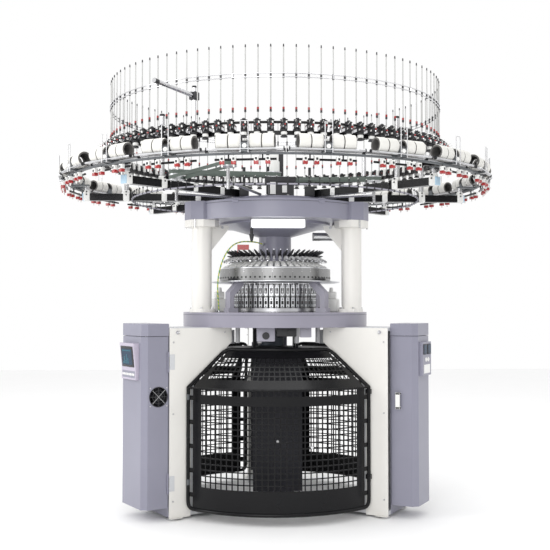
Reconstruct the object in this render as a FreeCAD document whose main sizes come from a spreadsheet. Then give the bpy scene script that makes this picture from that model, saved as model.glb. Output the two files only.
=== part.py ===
"""A circular double-jersey knitting machine: three legs carry a bed ring, the bed carries the
cylinder, its cams and three columns, and the columns carry the top frame with the dial drive and
the creel, a set of ring rails that hold yarn feeders, elastane bobbins and yarn guides.

The frame is +Z up with the origin on the floor, on the needle cylinder's axis. The front gate
faces -Y, and the legs stand at 210, 330 and 90 degrees. A piece of a leg is drawn along +X and
then turned to its leg. All sizes are in millimetres and live in the sheet "Sizes".
"""

import FreeCAD
import Part

import math
import os
import re

import Sketcher

V = FreeCAD.Vector
UP = V(0, 0, 1)
ORIGIN = V(0, 0, 0)

SIZES = {
    # floor, feet and legs
    "foot_radius": 35,
    "foot_pad": 12,
    "foot_stud": 10,
    "foot_height": 20,
    "base_plate": 25,
    "leg_in": 480,
    "leg_out": 840,
    "leg_half": 165,
    "leg_box_in": 640,
    "leg_box_out": 780,
    "leg_box_half": 90,
    "leg_wall": 12,
    "leg_top_in": 420,
    "leg_top_plate": 20,
    "beam_in": 350,
    "beam_half": 80,
    "beam_depth": 85,
    "sheet": 2.5,
    "panel_bottom": 12,
    "panel_foot_in": 700,
    "panel_knee": 780,
    "panel_shoulder": 1035,
    "panel_return": 40,
    # bed
    "bed_bottom": 1125,
    "bed_top": 1215,
    "bed_radius": 594,
    "bed_wall": 10,
    "bed_floor": 15,
    "bed_lid": 15,
    "bed_hole": 210,
    "track_in": 300,
    "track_out": 330,
    # gears
    "gear_module": 4,
    "gear_teeth": 251,
    "pinion_teeth": 19,
    "gear_width": 25,
    "gear_backlash": 0.8,
    "bed_gear_bottom": 1150,
    "top_gear_bottom": 1810,
    "gear_bore": 180,
    "shaft_radius": 17.5,
    "running_gap": 0.3,
    # cylinder and its cams
    "cylinder_radius": 228,
    "cylinder_wall": 14,
    "cylinder_top": 1400,
    "cam_sleeve": 6,
    "cam_radius": 266,
    "cam_base_radius": 275,
    "cam_base_top": 1240,
    "cam_lower_top": 1310,
    "cam_upper_top": 1386,
    "cam_sleeve_top": 1392,
    "cam_count": 48,
    "cam_lower_width": 22,
    "cam_upper_width": 26,
    # disc, segments and dial
    "disc_radius": 420,
    "disc_in": 240,
    "disc_bottom": 1400,
    "disc_thick": 16,
    "bracket_count": 4,
    "bracket_out": 445,
    "bracket_post_in": 395,
    "bracket_top_in": 310,
    "bracket_half": 20,
    "segment_count": 36,
    "segment_radius": 360,
    "segment_depth": 22,
    "segment_top": 1490,
    "segment_seam": 1,
    "segment_hole": 3,
    "dial_radius": 222,
    "dial_bottom": 1404,
    "dial_thick": 16,
    "dial_shaft": 30,
    "dial_cap_rim": 340,
    "dial_cap_crown": 255,
    "dial_cap_top": 1532,
    "dial_cap_wall": 12,
    "guide_count": 48,
    "guide_thick": 8,
    # columns and top frame
    "column_circle": 540,
    "column_radius": 62,
    "column_bore": 50,
    "column_foot_radius": 86,
    "column_foot": 22,
    "column_cap": 43,
    "lobe_half": 98,
    "gusset_in": 350,
    "gusset_drop": 145,
    "gusset_thick": 14,
    "top_bottom": 1785,
    "top_floor": 15,
    "top_radius": 570,
    "top_wall": 14,
    "top_lid_bottom": 1882,
    "top_lid": 15,
    "boss_radius": 360,
    "boss_wall": 30,
    "boss_top": 1936,
    "boss_plate": 12,
    "hub_radius": 105,
    "hub_cone_bottom": 1700,
    "hub_flange": 12,
    "lamp_half": 165,
    "lamp_height": 58,
    "lamp_depth": 50,
    "lamp_front": 460,
    "lamp_corner": 20,
    "side_lamp_radius": 26,
    "side_lamp_length": 145,
    "side_lamp_in": 240,
    "side_lamp_back": 100,
    "side_lamp_drop": 86,
    "side_lamp_stem": 20,
    # creel
    "arm_in": 300,
    "arm_out": 1240,
    "arm_width": 45,
    "clamp_wall": 4,
    "clamp_width": 40,
    "post_circle": 965,
    "post_radius": 15,
    "post_top": 2364,
    "outer_post_circle": 1220,
    "feeder_circle": 1060,
    "feeder_rail_bottom": 2180,
    "feeder_rail_height": 20,
    "feeder_rail_width": 24,
    "feeder_count": 96,
    "feeder_width": 40,
    "feeder_body_height": 34,
    "feeder_body_length": 92,
    "wheel_circle": 1104,
    "pulley_radius": 21,
    "pulley_height": 20,
    "store_radius": 19,
    "store_height": 42,
    "rod_radius": 3,
    "rod_top": 2675,
    "rod_rail_height": 2505,
    "rod_rail_spacing": 20,
    "rod_rail_radius": 3,
    "belt_height": 14,
    "belt_thick": 1.6,
    "outrigger_angle": 241,
    "outrigger_out": 1440,
    "outrigger_height": 2418,
    "outrigger_post_top": 2475,
    "outrigger_radius": 12,
    # elastane feeding
    "elastane_circle": 1330,
    "elastane_count": 20,
    "elastane_rail_bottom": 2030,
    "elastane_rail_height": 10,
    "elastane_rail_width": 20,
    "housing_half": 20,
    "housing_height": 52,
    "roller_radius": 7,
    "roller_spread": 28,
    "roller_reach": 198,
    "roller_lift": 14,
    "bobbin_radius": 42,
    "bobbin_bore": 33,
    "bobbin_width": 60,
    "bobbin_gap": 6,
    "bobbin_start": 24,
    "wire_radius": 2.5,
    "wire_top": 2195,
    "sensor_bar_radius": 6,
    "sensor_bar_half": 160,
    "sensor_bar_height": 2004,
    "sensor_width": 24,
    "sensor_depth": 26,
    "sensor_drop": 34,
    "sensor_inner": 58,
    "sensor_outer": 118,
    "guide_ring_circle": 925,
    "guide_ring_width": 8,
    "guide_ring_height": 8,
    "drive_box_width": 155,
    "drive_box_depth": 120,
    "drive_box_height": 116,
    "junction_width": 110,
    "junction_depth": 90,
    "junction_height": 330,
    # cabinets
    "back_plate": 3,
    "cover_in": 845.5,
    "cover_out": 1005,
    "cover_bevel": 30,
    "cover_bottom": 75,
    "cover_top": 1075,
    "cover_sheet": 2,
    "cover_half_left": 160,
    "cover_half_right": 125,
    "cover_half_rear": 125,
    "lid_bottom": 1078,
    "lid_top": 1150,
    "lid_proud": 3,
    "hinge_radius": 5,
    "hinge_inset": 2.5,
    "hinge_offset": 6,
    "hinge_knuckle": 60,
    "hinge_leaf": 4,
    "hinge_low": 215,
    "hinge_high": 925,
    "panel_half": 100,
    "panel_low": 822,
    "panel_high": 1036,
    "panel_keys_top": 884,
    "panel_lip": 20,
    "panel_brow": 36,
    "dial_panel_half": 78,
    "dial_panel_low": 840,
    "dial_panel_high": 1040,
    "dial_panel_depth": 22,
    "button_radius": 8,
    "button_proud": 6,
    "button_depth": 13,
    "button_pocket": 17,
    "button_gap": 0.4,
    "button_height": 935,
    "button_spread": 20,
    "fan_x": 907,
    "fan_height": 724,
    "fan_frame": 119,
    "fan_depth": 38,
    "fan_bore": 56,
    "fan_hub": 20,
    "fan_tip": 53,
    "fan_blades": 7,
    "fan_spoke": 3,
    "handle_length": 96,
    "handle_height": 694,
    "handle_x": 880,
    "handle_width": 26,
    "handle_proud": 24,
    # gates
    "gate_radius": 745,
    "gate_half_angle": 46,
    "gate_sheet_angle": 42.9,
    "gate_side_gap": 29,
    "gate_tube": 11,
    "gate_corner": 45,
    "gate_corner_steps": 4,
    "gate_rail_tube": 6,
    "gate_bottom": 65,
    "gate_knee": 772,
    "gate_top": 992,
    "gate_top_radius": 500,
    "gate_sheet": 3,
    "gate_columns": 28,
    "gate_rows": 14,
    "gate_cone_rows": 5,
    "gate_hole": 28,
    "gate_hole_rim": 8,
    "gate_pitch_angle": 2.72,
    "gate_pitch_height": 34.8,
    "gate_mesh_bottom": 200,
    "gate_vent_drop": 36,
    "gate_cone_pitch": 37.5,
    "gate_cone_start": 92,
    "gate_tabs": 5,
    "gate_tab": 26,
    "lug_half": 15,
    "lug_height": 28,
    "lug_low": 228,
    "lug_high": 731,
    # take-down
    "spider_height": 40,
    "spider_half": 30,
    "spider_hub": 90,
    "spider_hub_top": 100,
    "pivot_radius": 25,
    "frame_beam_half": 60,
    "frame_beam_bottom": 130,
    "frame_beam_height": 30,
    "frame_reach": 376,
    "frame_plate": 20,
    "frame_half": 150,
    "frame_top": 960,
    "frame_ring": 20,
    "frame_ring_out": 400,
    "carrier_circle": 190,
    "carrier_radius": 8,
    "nip_height": 820,
    "nip_radius": 25,
    "nip_gap": 0.4,
    "winder_height": 430,
    "winder_radius": 22,
    "journal_radius": 8,
    # motor
    "motor_radius": 80,
    "motor_bottom": 800,
    "motor_flange": 78,
    # earth lead
    "lead_radius": 4,
    "gland_radius": 9,
}

LEG_ANGLES = {"left": 210, "right": 330, "rear": 90}
ARM_ANGLES = (0, 45, 135, 180, 225, 315)

doc = FreeCAD.newDocument("CircularKnittingMachine")
sheet = doc.addObject("Spreadsheet::Sheet", "Sizes")
for row, (alias, number) in enumerate(SIZES.items(), start=1):
    sheet.set(f"A{row}", alias.replace("_", " "))
    sheet.set(f"B{row}", str(number))
    sheet.setAlias(f"B{row}", alias)
doc.recompute()

subparts = []


# ---------------------------------------------------------------- helpers


def size(alias):
    """The value of one cell of the sheet."""
    return float(sheet.get(alias))


def formula(text):
    """A formula with the sheet's name put before each alias in it."""

    def named(match):
        word = match.group(0)
        return f"Sizes.{word}" if word in SIZES else word

    return re.sub(r"[a-z]\w*", named, str(text))


def bind(item, prop, text):
    item.setExpression(prop, formula(text))


def place(item, at):
    """Binds the item's position to three formulas."""
    for axis, text in zip("xyz", at):
        bind(item, f"Placement.Base.{axis}", text)


def turn(item, degrees):
    """Turns the item about the machine's axis, inside a group if its own position is bound."""
    if any("Placement" in path for path, _ in item.ExpressionEngine):
        item = group(item)
    item.Placement = FreeCAD.Placement(ORIGIN, FreeCAD.Rotation(UP, degrees)).multiply(item.Placement)
    return item


def keep(item, label):
    """Names the item as a sub-part, which is written to its own file."""
    item.Label = label
    subparts.append(item)
    return item


def box(low, extent):
    """A Part::Box from its low corner and its three lengths, all formulas."""
    item = doc.addObject("Part::Box", "Box")
    for prop, text in zip(("Length", "Width", "Height"), extent):
        bind(item, prop, text)
    place(item, low)
    return item


AXIS_TURNS = {
    "Z": FreeCAD.Rotation(),
    "X": FreeCAD.Rotation(V(0, 1, 0), 90),
    "Y": FreeCAD.Rotation(V(1, 0, 0), -90),
}


def rod(low, radius, length, axis="Z"):
    """A Part::Cylinder along an axis, from the centre of its low end."""
    item = doc.addObject("Part::Cylinder", "Rod")
    item.Placement = FreeCAD.Placement(ORIGIN, AXIS_TURNS[axis])
    bind(item, "Radius", radius)
    bind(item, "Height", length)
    place(item, low)
    return item


def cut(base, *tools):
    item = doc.addObject("Part::Cut", "Cut")
    item.Base = base
    item.Tool = tools[0] if len(tools) == 1 else fuse(*tools)
    return item


def fuse(*pieces):
    item = doc.addObject("Part::MultiFuse", "Fuse")
    item.Shapes = list(pieces)
    item.Refine = False
    return item


def group(*pieces):
    """Several separate solids that share one sub-part."""
    item = doc.addObject("Part::Compound", "Group")
    item.Links = list(pieces)
    return item


def outline(body, role, points, start="0"):
    """A closed polygon in a sketch on one of the body's origin planes, each corner held by two formulas."""
    sketch = body.newObject("Sketcher::SketchObject", "Outline")
    plane = [item for item in body.Origin.OriginFeatures if item.Role == role][0]
    sketch.AttachmentSupport = [(plane, "")]
    sketch.MapMode = "FlatFace"
    bind(sketch, "AttachmentOffset.Base.z", start)
    count = len(points)
    steps = [2 * math.pi * k / count for k in range(count)]
    first = [V(math.cos(step), math.sin(step), 0) for step in steps]
    for k in range(count):
        sketch.addGeometry(Part.LineSegment(first[k], first[(k + 1) % count]), False)
    for k in range(count):
        sketch.addConstraint(Sketcher.Constraint("Coincident", k, 2, (k + 1) % count, 1))
    for k, corner in enumerate(points):
        for kind, letter, text, now in zip(("DistanceX", "DistanceY"), "xy", corner, first[k]):
            index = sketch.addConstraint(Sketcher.Constraint(kind, k, 1, now))
            sketch.renameConstraint(index, f"{letter}{k}")
            bind(sketch, f"Constraints.{letter}{k}", text)
    return sketch


def turned(points):
    """A body of revolution about Z from (radius, height) corners."""
    body = doc.addObject("PartDesign::Body", "Turned")
    sketch = outline(body, "XZ_Plane", points)
    spin = body.newObject("PartDesign::Revolution", "Revolution")
    spin.Profile = sketch
    spin.ReferenceAxis = (sketch, ["V_Axis"])
    spin.Angle = 360
    return body


def plate(role, points, start, thick):
    """A padded polygon. On XY_Plane the pad rises along Z from start, on XZ_Plane it runs along -Y
    from -start, and on YZ_Plane along X from start."""
    body = doc.addObject("PartDesign::Body", "Plate")
    sketch = outline(body, role, points, start)
    pad = body.newObject("PartDesign::Pad", "Pad")
    pad.Profile = sketch
    bind(pad, "Length", thick)
    return body


def turned_copy(pattern, degrees):
    """A copy of a finished pattern's shape, turned about the machine's axis."""
    shape = pattern.Shape.copy()
    shape.rotate(ORIGIN, UP, degrees)
    return shape


def ring_of(label, pattern, angles):
    """Copies of one finished pattern turned about the machine's axis, as separate solids."""
    doc.recompute()
    item = doc.addObject("Part::Feature", "Ring")
    copies = []
    for degrees in angles:
        copies += turned_copy(pattern, degrees).Solids
    item.Shape = Part.makeCompound(copies)
    return keep(item, label)


def evenly(count, first=0.0):
    """Angles of count copies spread over a full turn."""
    return [first + 360.0 * k / count for k in range(int(round(count)))]


# ---------------------------------------------------------------- base and legs


def levelling_foot(x, y):
    """A pad and its threaded stud, turned as one piece."""
    pad = rod((x, y, "0"), "foot_radius", "foot_pad")
    stud = rod((x, y, "foot_pad"), "foot_stud", "foot_height - foot_pad")
    return fuse(pad, stud)


def make_feet():
    feet = group(
        levelling_foot("leg_out - foot_radius", "leg_half - foot_radius"),
        levelling_foot("leg_out - foot_radius", "foot_radius - leg_half"),
        levelling_foot("leg_in + foot_radius", "0"),
    )
    ring_of("levelling_feet", feet, LEG_ANGLES.values())


def make_spider():
    """The cast base that ties the legs together and holds the take-down's pivot."""
    hub = rod(("0", "0", "foot_height"), "spider_hub", "spider_hub_top - foot_height")
    arms = []
    for degrees in LEG_ANGLES.values():
        arm = box(("0", "-spider_half", "foot_height"), ("leg_in", "2 * spider_half", "spider_height"))
        arms.append(turn(arm, degrees))
    bore = rod(("0", "0", "foot_height + spider_height / 2"), "pivot_radius + running_gap", "spider_hub_top")
    keep(cut(fuse(hub, *arms), bore), "base_spider")


def make_leg(side):
    """Foot plate, hollow post, top plate and, at the front, the beam that reaches in under the bed."""
    foot = box(("leg_in", "-leg_half", "foot_height"), ("leg_out - leg_in", "2 * leg_half", "base_plate"))
    post = box(
        ("leg_box_in", "-leg_box_half", "foot_height + base_plate"),
        (
            "leg_box_out - leg_box_in",
            "2 * leg_box_half",
            "bed_bottom - leg_top_plate - foot_height - base_plate",
        ),
    )
    hollow = box(
        ("leg_box_in + leg_wall", "leg_wall - leg_box_half", "foot_height + base_plate + leg_wall"),
        (
            "leg_box_out - leg_box_in - 2 * leg_wall",
            "2 * (leg_box_half - leg_wall)",
            "bed_bottom - leg_top_plate - foot_height - base_plate - 2 * leg_wall",
        ),
    )
    top = box(
        ("leg_top_in", "-leg_half", "bed_bottom - leg_top_plate"),
        ("leg_out - leg_top_in", "2 * leg_half", "leg_top_plate"),
    )
    pieces = [foot, cut(post, hollow), top]
    if side == "rear":
        hole_low = ("column_circle", "0", "bed_bottom - 2 * leg_top_plate")
        hole = rod(hole_low, "gland_radius * 2 + 2", "3 * leg_top_plate")
        leg = cut(fuse(*pieces), hole)
    else:
        beam = box(
            ("beam_in", "-beam_half", "bed_bottom - leg_top_plate - beam_depth"),
            ("leg_box_in - beam_in", "2 * beam_half", "beam_depth"),
        )
        leg = fuse(*pieces, beam)
    return turn(leg, LEG_ANGLES[side])


def make_legs():
    keep(group(*[make_leg(side) for side in LEG_ANGLES]), "legs")


def side_panel(sign):
    """A folded sheet on one side of a leg: its outline follows the gate, and its inner edge is bent in."""
    corners = [
        ("leg_top_in", "bed_bottom - sheet"),
        ("leg_top_in", "panel_shoulder"),
        ("panel_foot_in", "panel_knee"),
        ("panel_foot_in", "panel_bottom"),
        ("leg_out", "panel_bottom"),
        ("leg_out", "bed_bottom - sheet"),
    ]
    start = "-leg_half - sheet" if sign > 0 else "leg_half"
    face = plate("XZ_Plane", corners, start, "sheet")
    lip_y = "leg_half - panel_return" if sign > 0 else "-leg_half"
    lip = box(
        ("panel_foot_in", lip_y, "foot_height + base_plate"),
        ("sheet", "panel_return", "panel_knee - foot_height - base_plate - sheet"),
    )
    return fuse(face, lip)


def make_panels():
    pair = group(side_panel(1), side_panel(-1))
    ring_of("leg_panels", pair, LEG_ANGLES.values())


# ---------------------------------------------------------------- cabinets


def cabinet_outline(half, inset="0", low_x="cover_in"):
    """The cabinet's plan, open towards the leg, with its two outer corners bevelled."""
    out = f"cover_out - ({inset})"
    side = f"{half} - ({inset})"
    bend = f"cover_bevel - ({inset}) * 0.586"
    return [
        (low_x, f"-({side})"),
        (f"{out} - ({bend})", f"-({side})"),
        (out, f"-({side}) + ({bend})"),
        (out, f"{side} - ({bend})"),
        (f"{out} - ({bend})", side),
        (low_x, side),
    ]


def hinge_axis(half):
    return "cover_in + hinge_inset", f"{half} + hinge_offset"


def cover_shell(half):
    """The folded steel cover with its hinge knuckles, open at the leg and at the top."""
    outer = plate("XY_Plane", cabinet_outline(half), "cover_bottom", "cover_top - cover_bottom")
    inner = plate(
        "XY_Plane",
        cabinet_outline(half, "cover_sheet", "cover_in - cover_sheet"),
        "cover_bottom + cover_sheet",
        "cover_top - cover_bottom",
    )
    x, y = hinge_axis(half)
    knuckles = []
    for height in ("hinge_low", "hinge_high"):
        low = f"{height} - hinge_knuckle / 2"
        knuckles.append(rod((x, y, low), "hinge_radius", "hinge_knuckle"))
        leaf_low = (x, f"{half} - cover_sheet / 2", low)
        knuckles.append(box(leaf_low, ("hinge_leaf", "hinge_offset", "hinge_knuckle")))
    return fuse(cut(outer, inner), *knuckles)


def cabinet_back(half):
    """The plate that closes the leg's outer end and carries the fixed hinge knuckles."""
    pieces = [
        box(
            ("leg_out", f"-({half})", "foot_height"),
            ("back_plate", f"2 * {half}", "lid_top - foot_height - lid_proud"),
        )
    ]
    x, y = hinge_axis(half)
    for height in ("hinge_low", "hinge_high"):
        for side in (-1, 1):
            low = f"{height} - hinge_knuckle - running_gap"
            if side > 0:
                low = f"{height} + hinge_knuckle / 2 + running_gap"
            pieces.append(rod((x, y, low), "hinge_radius", "hinge_knuckle / 2"))
            web = (f"{x} - leg_out", "hinge_offset + 1", "hinge_knuckle / 2")
            pieces.append(box(("leg_out", f"{half} + 1", low), web))
            pieces.append(box(("leg_out", f"{half} - 5", low), ("back_plate", "12", "hinge_knuckle / 2")))
    return fuse(*pieces)


def cabinet_lid(half):
    """The cap over a cabinet, a little proud of the cover, fixed to the back plate."""
    wide = f"{half} + lid_proud"
    outer = plate(
        "XY_Plane", cabinet_outline(wide, "0", "leg_out + back_plate"), "lid_bottom", "lid_top - lid_bottom"
    )
    inner = plate(
        "XY_Plane",
        cabinet_outline(wide, "cover_sheet", "leg_out + back_plate + cover_sheet"),
        "lid_bottom - cover_sheet",
        "lid_top - lid_bottom",
    )
    return cut(outer, inner)


def make_cabinet_backs_and_lids():
    backs, lids = [], []
    for side, degrees in LEG_ANGLES.items():
        half = f"cover_half_{side}"
        backs.append(turn(cabinet_back(half), degrees))
        lids.append(turn(cabinet_lid(half), degrees))
    keep(group(*backs, *lids), "cabinet_backs_and_lids")


def make_covers():
    for side, degrees in LEG_ANGLES.items():
        shell = cover_shell(f"cover_half_{side}")
        if side == "left":
            window_low = ("fan_x", "cover_half_left - 2 * cover_sheet", "fan_height")
            window = rod(window_low, "fan_bore", "4 * cover_sheet", "Y")
            shell = cut(shell, window)
        keep(turn(shell, degrees), f"cabinet_cover_{side}")


def make_control_panel():
    """The left cabinet's housing: an upright key field below, a tilted display field above."""
    profile = [
        ("cover_out", "panel_low"),
        ("cover_out + panel_lip", "panel_low"),
        ("cover_out + panel_lip", "panel_keys_top"),
        ("cover_out + panel_brow", "panel_high"),
        ("cover_out", "panel_high"),
    ]
    body = plate("XZ_Plane", profile, "-panel_half", "2 * panel_half")
    keep(turn(body, LEG_ANGLES["left"]), "control_panel")


def button_place(sign):
    return ("cover_out + dial_panel_depth - button_depth", f"{sign} * button_spread", "button_height")


def make_instrument_panel():
    """The right cabinet's gauge panel, with pockets for its two buttons."""
    slab = box(
        ("cover_out", "-dial_panel_half", "dial_panel_low"),
        ("dial_panel_depth", "2 * dial_panel_half", "dial_panel_high - dial_panel_low"),
    )
    pockets = [
        rod(
            ("cover_out + dial_panel_depth - button_pocket", f"{sign} * button_spread", "button_height"),
            "button_radius + button_gap",
            "button_pocket + 5",
            "X",
        )
        for sign in (-1, 1)
    ]
    keep(turn(cut(slab, *pockets), LEG_ANGLES["right"]), "instrument_panel")
    for name, sign in (("start_button", -1), ("stop_button", 1)):
        button = rod(button_place(sign), "button_radius", "button_depth + button_proud", "X")
        keep(turn(button, LEG_ANGLES["right"]), name)


def make_handle():
    """A bow handle on the right cabinet's front face, which is the cover's -Y side."""
    y = "-cover_half_right - handle_proud"
    low = "handle_height - handle_length / 2"
    bar = box(("handle_x", y, low), ("handle_width", "handle_proud / 3", "handle_length"))
    foot = "handle_width / 2"
    ends = [
        box(("handle_x", y, height), ("handle_width", "handle_proud", foot))
        for height in (low, "handle_height + handle_length / 2 - handle_width / 2")
    ]
    keep(turn(fuse(bar, *ends), LEG_ANGLES["right"]), "pull_handle")


def make_fan():
    """An axial fan on the left cabinet's front face: frame with finger guard, and the rotor."""
    inner_face = "cover_half_left - cover_sheet"
    frame = cut(
        box(
            ("fan_x - fan_frame / 2", f"{inner_face} - fan_depth", "fan_height - fan_frame / 2"),
            ("fan_frame", "fan_depth", "fan_frame"),
        ),
        rod(("fan_x", f"{inner_face} - fan_depth - 1", "fan_height"), "fan_bore", "fan_depth + 2", "Y"),
    )
    motor = rod(("fan_x", f"{inner_face} - fan_depth", "fan_height"), "fan_hub", "6", "Y")
    struts = [
        box(
            ("fan_x - fan_bore", f"{inner_face} - fan_depth", "fan_height - fan_spoke"),
            ("2 * fan_bore", "4", "2 * fan_spoke"),
        ),
        box(
            ("fan_x - fan_spoke", f"{inner_face} - fan_depth", "fan_height - fan_bore"),
            ("2 * fan_spoke", "4", "2 * fan_bore"),
        ),
    ]
    frame_item = fuse(frame, motor, *struts)
    guard_y = "cover_half_left"
    rings = []
    for radius in ("fan_bore + fan_spoke", "fan_bore * 0.7", "fan_bore * 0.42"):
        outer = rod(("fan_x", guard_y, "fan_height"), radius, "fan_spoke", "Y")
        inner = rod(("fan_x", f"{guard_y} - 1", "fan_height"), f"{radius} - fan_spoke", "fan_spoke + 2", "Y")
        rings.append(cut(outer, inner))
    spokes = [
        box(
            ("fan_x - fan_bore", guard_y, "fan_height - fan_spoke / 2"),
            ("2 * fan_bore", "fan_spoke", "fan_spoke"),
        ),
        box(
            ("fan_x - fan_spoke / 2", guard_y, "fan_height - fan_bore"),
            ("fan_spoke", "fan_spoke", "2 * fan_bore"),
        ),
    ]
    keep(turn(group(frame_item, fuse(*rings, *spokes)), LEG_ANGLES["left"]), "fan_frame_and_guard")

    hub_y = f"{inner_face} - fan_depth + 6 + running_gap"
    hub = rod(("fan_x", hub_y, "fan_height"), "fan_hub", "fan_depth - 12", "Y")
    blade = box(
        ("fan_x + fan_hub - 2", f"{hub_y} + 4", "fan_height - 1"),
        ("fan_tip - fan_hub", "fan_depth - 20", "2"),
    )
    doc.recompute()
    centre = V(size("fan_x"), 0, size("fan_height"))
    blades = []
    for degrees in evenly(size("fan_blades")):
        shape = blade.Shape.copy()
        shape.rotate(blade.Shape.BoundBox.Center, V(1, 0, 0), 30)
        shape.rotate(centre, V(0, 1, 0), degrees)
        blades.append(shape)
    rotor = doc.addObject("Part::Feature", "Rotor")
    rotor.Shape = hub.Shape.multiFuse(blades)
    keep(turn(rotor, LEG_ANGLES["left"]), "fan_rotor")


# ---------------------------------------------------------------- gates


def sector(inner, outer, low, high, half_angle):
    """A block of a ring centred on -Y: a cone or cylinder band swept over twice the half angle."""
    corners = [V(inner[0], 0, low), V(outer[0], 0, low), V(outer[1], 0, high), V(inner[1], 0, high)]
    face = Part.Face(Part.makePolygon(corners + corners[:1]))
    band = face.revolve(ORIGIN, UP, 2 * half_angle)
    band.rotate(ORIGIN, UP, 270 - half_angle)
    return band


def arc_tube(radius, height, tube, half_angle):
    tube_face = Part.Face(Part.Wire(Part.makeCircle(tube, V(radius, 0, height), V(0, 1, 0))))
    swept = tube_face.revolve(ORIGIN, UP, 2 * half_angle)
    swept.rotate(ORIGIN, UP, 270 - half_angle)
    return swept


def straight_tube(start, end, tube):
    return Part.makeCylinder(tube, (end - start).Length, start, end - start)


def on_gate(radius, degrees, height):
    """A point of a gate from its radius, its angle from the gate's centre line, and its height."""
    a = math.radians(270 + degrees)
    return V(radius * math.cos(a), radius * math.sin(a), height)


def gate_slope():
    """The angle of a gate's sloping part above the floor's plane."""
    rise = size("gate_top") - size("gate_knee")
    run = size("gate_radius") - size("gate_top_radius")
    return math.atan2(rise, run)


def gate_side_line():
    """The distance of a gate's side tube from the middle plane of the leg beside it."""
    return size("gate_radius") * math.sin(math.radians(60 - size("gate_half_angle")))


def side_distance(radius, degrees):
    """The distance of a point of a gate from the middle plane of the nearer leg."""
    return radius * math.sin(math.radians(60 - abs(degrees)))


def gate_columns():
    columns = int(size("gate_columns"))
    return [(k - (columns - 1) / 2) * size("gate_pitch_angle") for k in range(columns)]


def upright_holes():
    """Square holes of the curved sheet: the field, and one row of vents under the rail."""
    radius, sheet_thick, hole = size("gate_radius"), size("gate_sheet"), size("gate_hole")
    rows = range(int(size("gate_rows")))
    heights = [size("gate_mesh_bottom") + row * size("gate_pitch_height") for row in rows]
    heights.append(size("gate_knee") - size("gate_vent_drop"))
    tools = []
    for degrees in gate_columns():
        for z in heights:
            tool = Part.makeBox(6 * sheet_thick, hole, hole, V(radius - 4 * sheet_thick, -hole / 2, z))
            tool.rotate(ORIGIN, UP, 270 + degrees)
            tools.append(tool)
    return tools


def sloping_holes():
    """Square holes of the sloping sheet, as far as its side edges leave a rim."""
    sheet_thick, hole = size("gate_sheet"), size("gate_hole")
    slope = gate_slope()
    nearest = gate_side_line() + size("gate_side_gap") + size("gate_hole_rim")
    tools = []
    for row in range(int(size("gate_cone_rows"))):
        along = size("gate_cone_start") + row * size("gate_cone_pitch")
        r = size("gate_radius") - along * math.cos(slope)
        z = size("gate_knee") + along * math.sin(slope)
        wide = hole * r / size("gate_radius")
        for degrees in gate_columns():
            if side_distance(r, degrees) - wide / 2 < nearest:
                continue
            tool = Part.makeBox(hole, wide, 8 * sheet_thick, V(-hole / 2, -wide / 2, -4 * sheet_thick))
            tool.rotate(ORIGIN, V(0, 1, 0), math.degrees(slope))
            tool.translate(V(r, 0, z))
            tool.rotate(ORIGIN, UP, 270 + degrees)
            tools.append(tool)
    return tools


def bent_tube(points, tube):
    """A round tube through the points, with a ball at each bend."""
    pieces = [straight_tube(start, end, tube) for start, end in zip(points, points[1:])]
    pieces += [Part.makeSphere(tube, point) for point in points]
    return pieces


def corner_points(before, corner, after):
    """Points of a rounded corner, on a curve that is tangent to both of its sides."""
    reach, steps = size("gate_corner"), int(size("gate_corner_steps"))
    start = corner + V(before - corner).normalize() * reach
    end = corner + V(after - corner).normalize() * reach
    shares = [k / steps for k in range(steps + 1)]
    return [start * (1 - t) ** 2 + corner * 2 * t * (1 - t) + end * t**2 for t in shares]


def gate_frame():
    """The tubes of one gate: two bent sides, the bottom and top hoops, and the rail at the knee."""
    radius, top_radius = size("gate_radius"), size("gate_top_radius")
    low, knee, high = size("gate_bottom"), size("gate_knee"), size("gate_top")
    half, tube, corner = size("gate_half_angle"), size("gate_tube"), size("gate_corner")
    top_half = 60 - math.degrees(math.asin(gate_side_line() / top_radius))
    low_end = half - math.degrees(corner / radius)
    high_end = top_half - math.degrees(corner / top_radius)
    pieces = [
        arc_tube(radius, low, tube, low_end),
        arc_tube(radius, knee, size("gate_rail_tube"), half),
        arc_tube(top_radius, high, tube, high_end),
    ]
    for side in (-1, 1):
        foot, bend = on_gate(radius, side * half, low), on_gate(radius, side * half, knee)
        head = on_gate(top_radius, side * top_half, high)
        foot_in, head_in = on_gate(radius, side * low_end, low), on_gate(top_radius, side * high_end, high)
        low_bend = corner_points(foot_in, foot, bend)
        high_bend = corner_points(bend, head, head_in)
        pieces += bent_tube([foot_in] + low_bend[1:] + [bend] + high_bend[:-1] + [head_in], tube)
    return pieces


def gate_sheet():
    """The curved sheet of one gate, and the sloping sheet that is trimmed parallel to the legs."""
    radius, top_radius = size("gate_radius"), size("gate_top_radius")
    low, knee, high = size("gate_bottom"), size("gate_knee"), size("gate_top")
    sheet_half, thick = size("gate_sheet_angle"), size("gate_sheet")
    inner, inner_top = radius - thick, top_radius - thick
    upright = sector((inner, inner), (radius, radius), low, knee, sheet_half)
    cone = sector((inner, inner_top), (radius, top_radius), knee, high, sheet_half)
    trim_half = gate_side_line() + size("gate_side_gap")
    for degrees in (LEG_ANGLES["left"], LEG_ANGLES["right"]):
        trim = Part.makeBox(radius, 2 * trim_half, high, V(0, -trim_half, knee + 0.01))
        trim.rotate(ORIGIN, UP, degrees)
        cone = cone.cut(trim)
    return [upright, cone]


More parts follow.
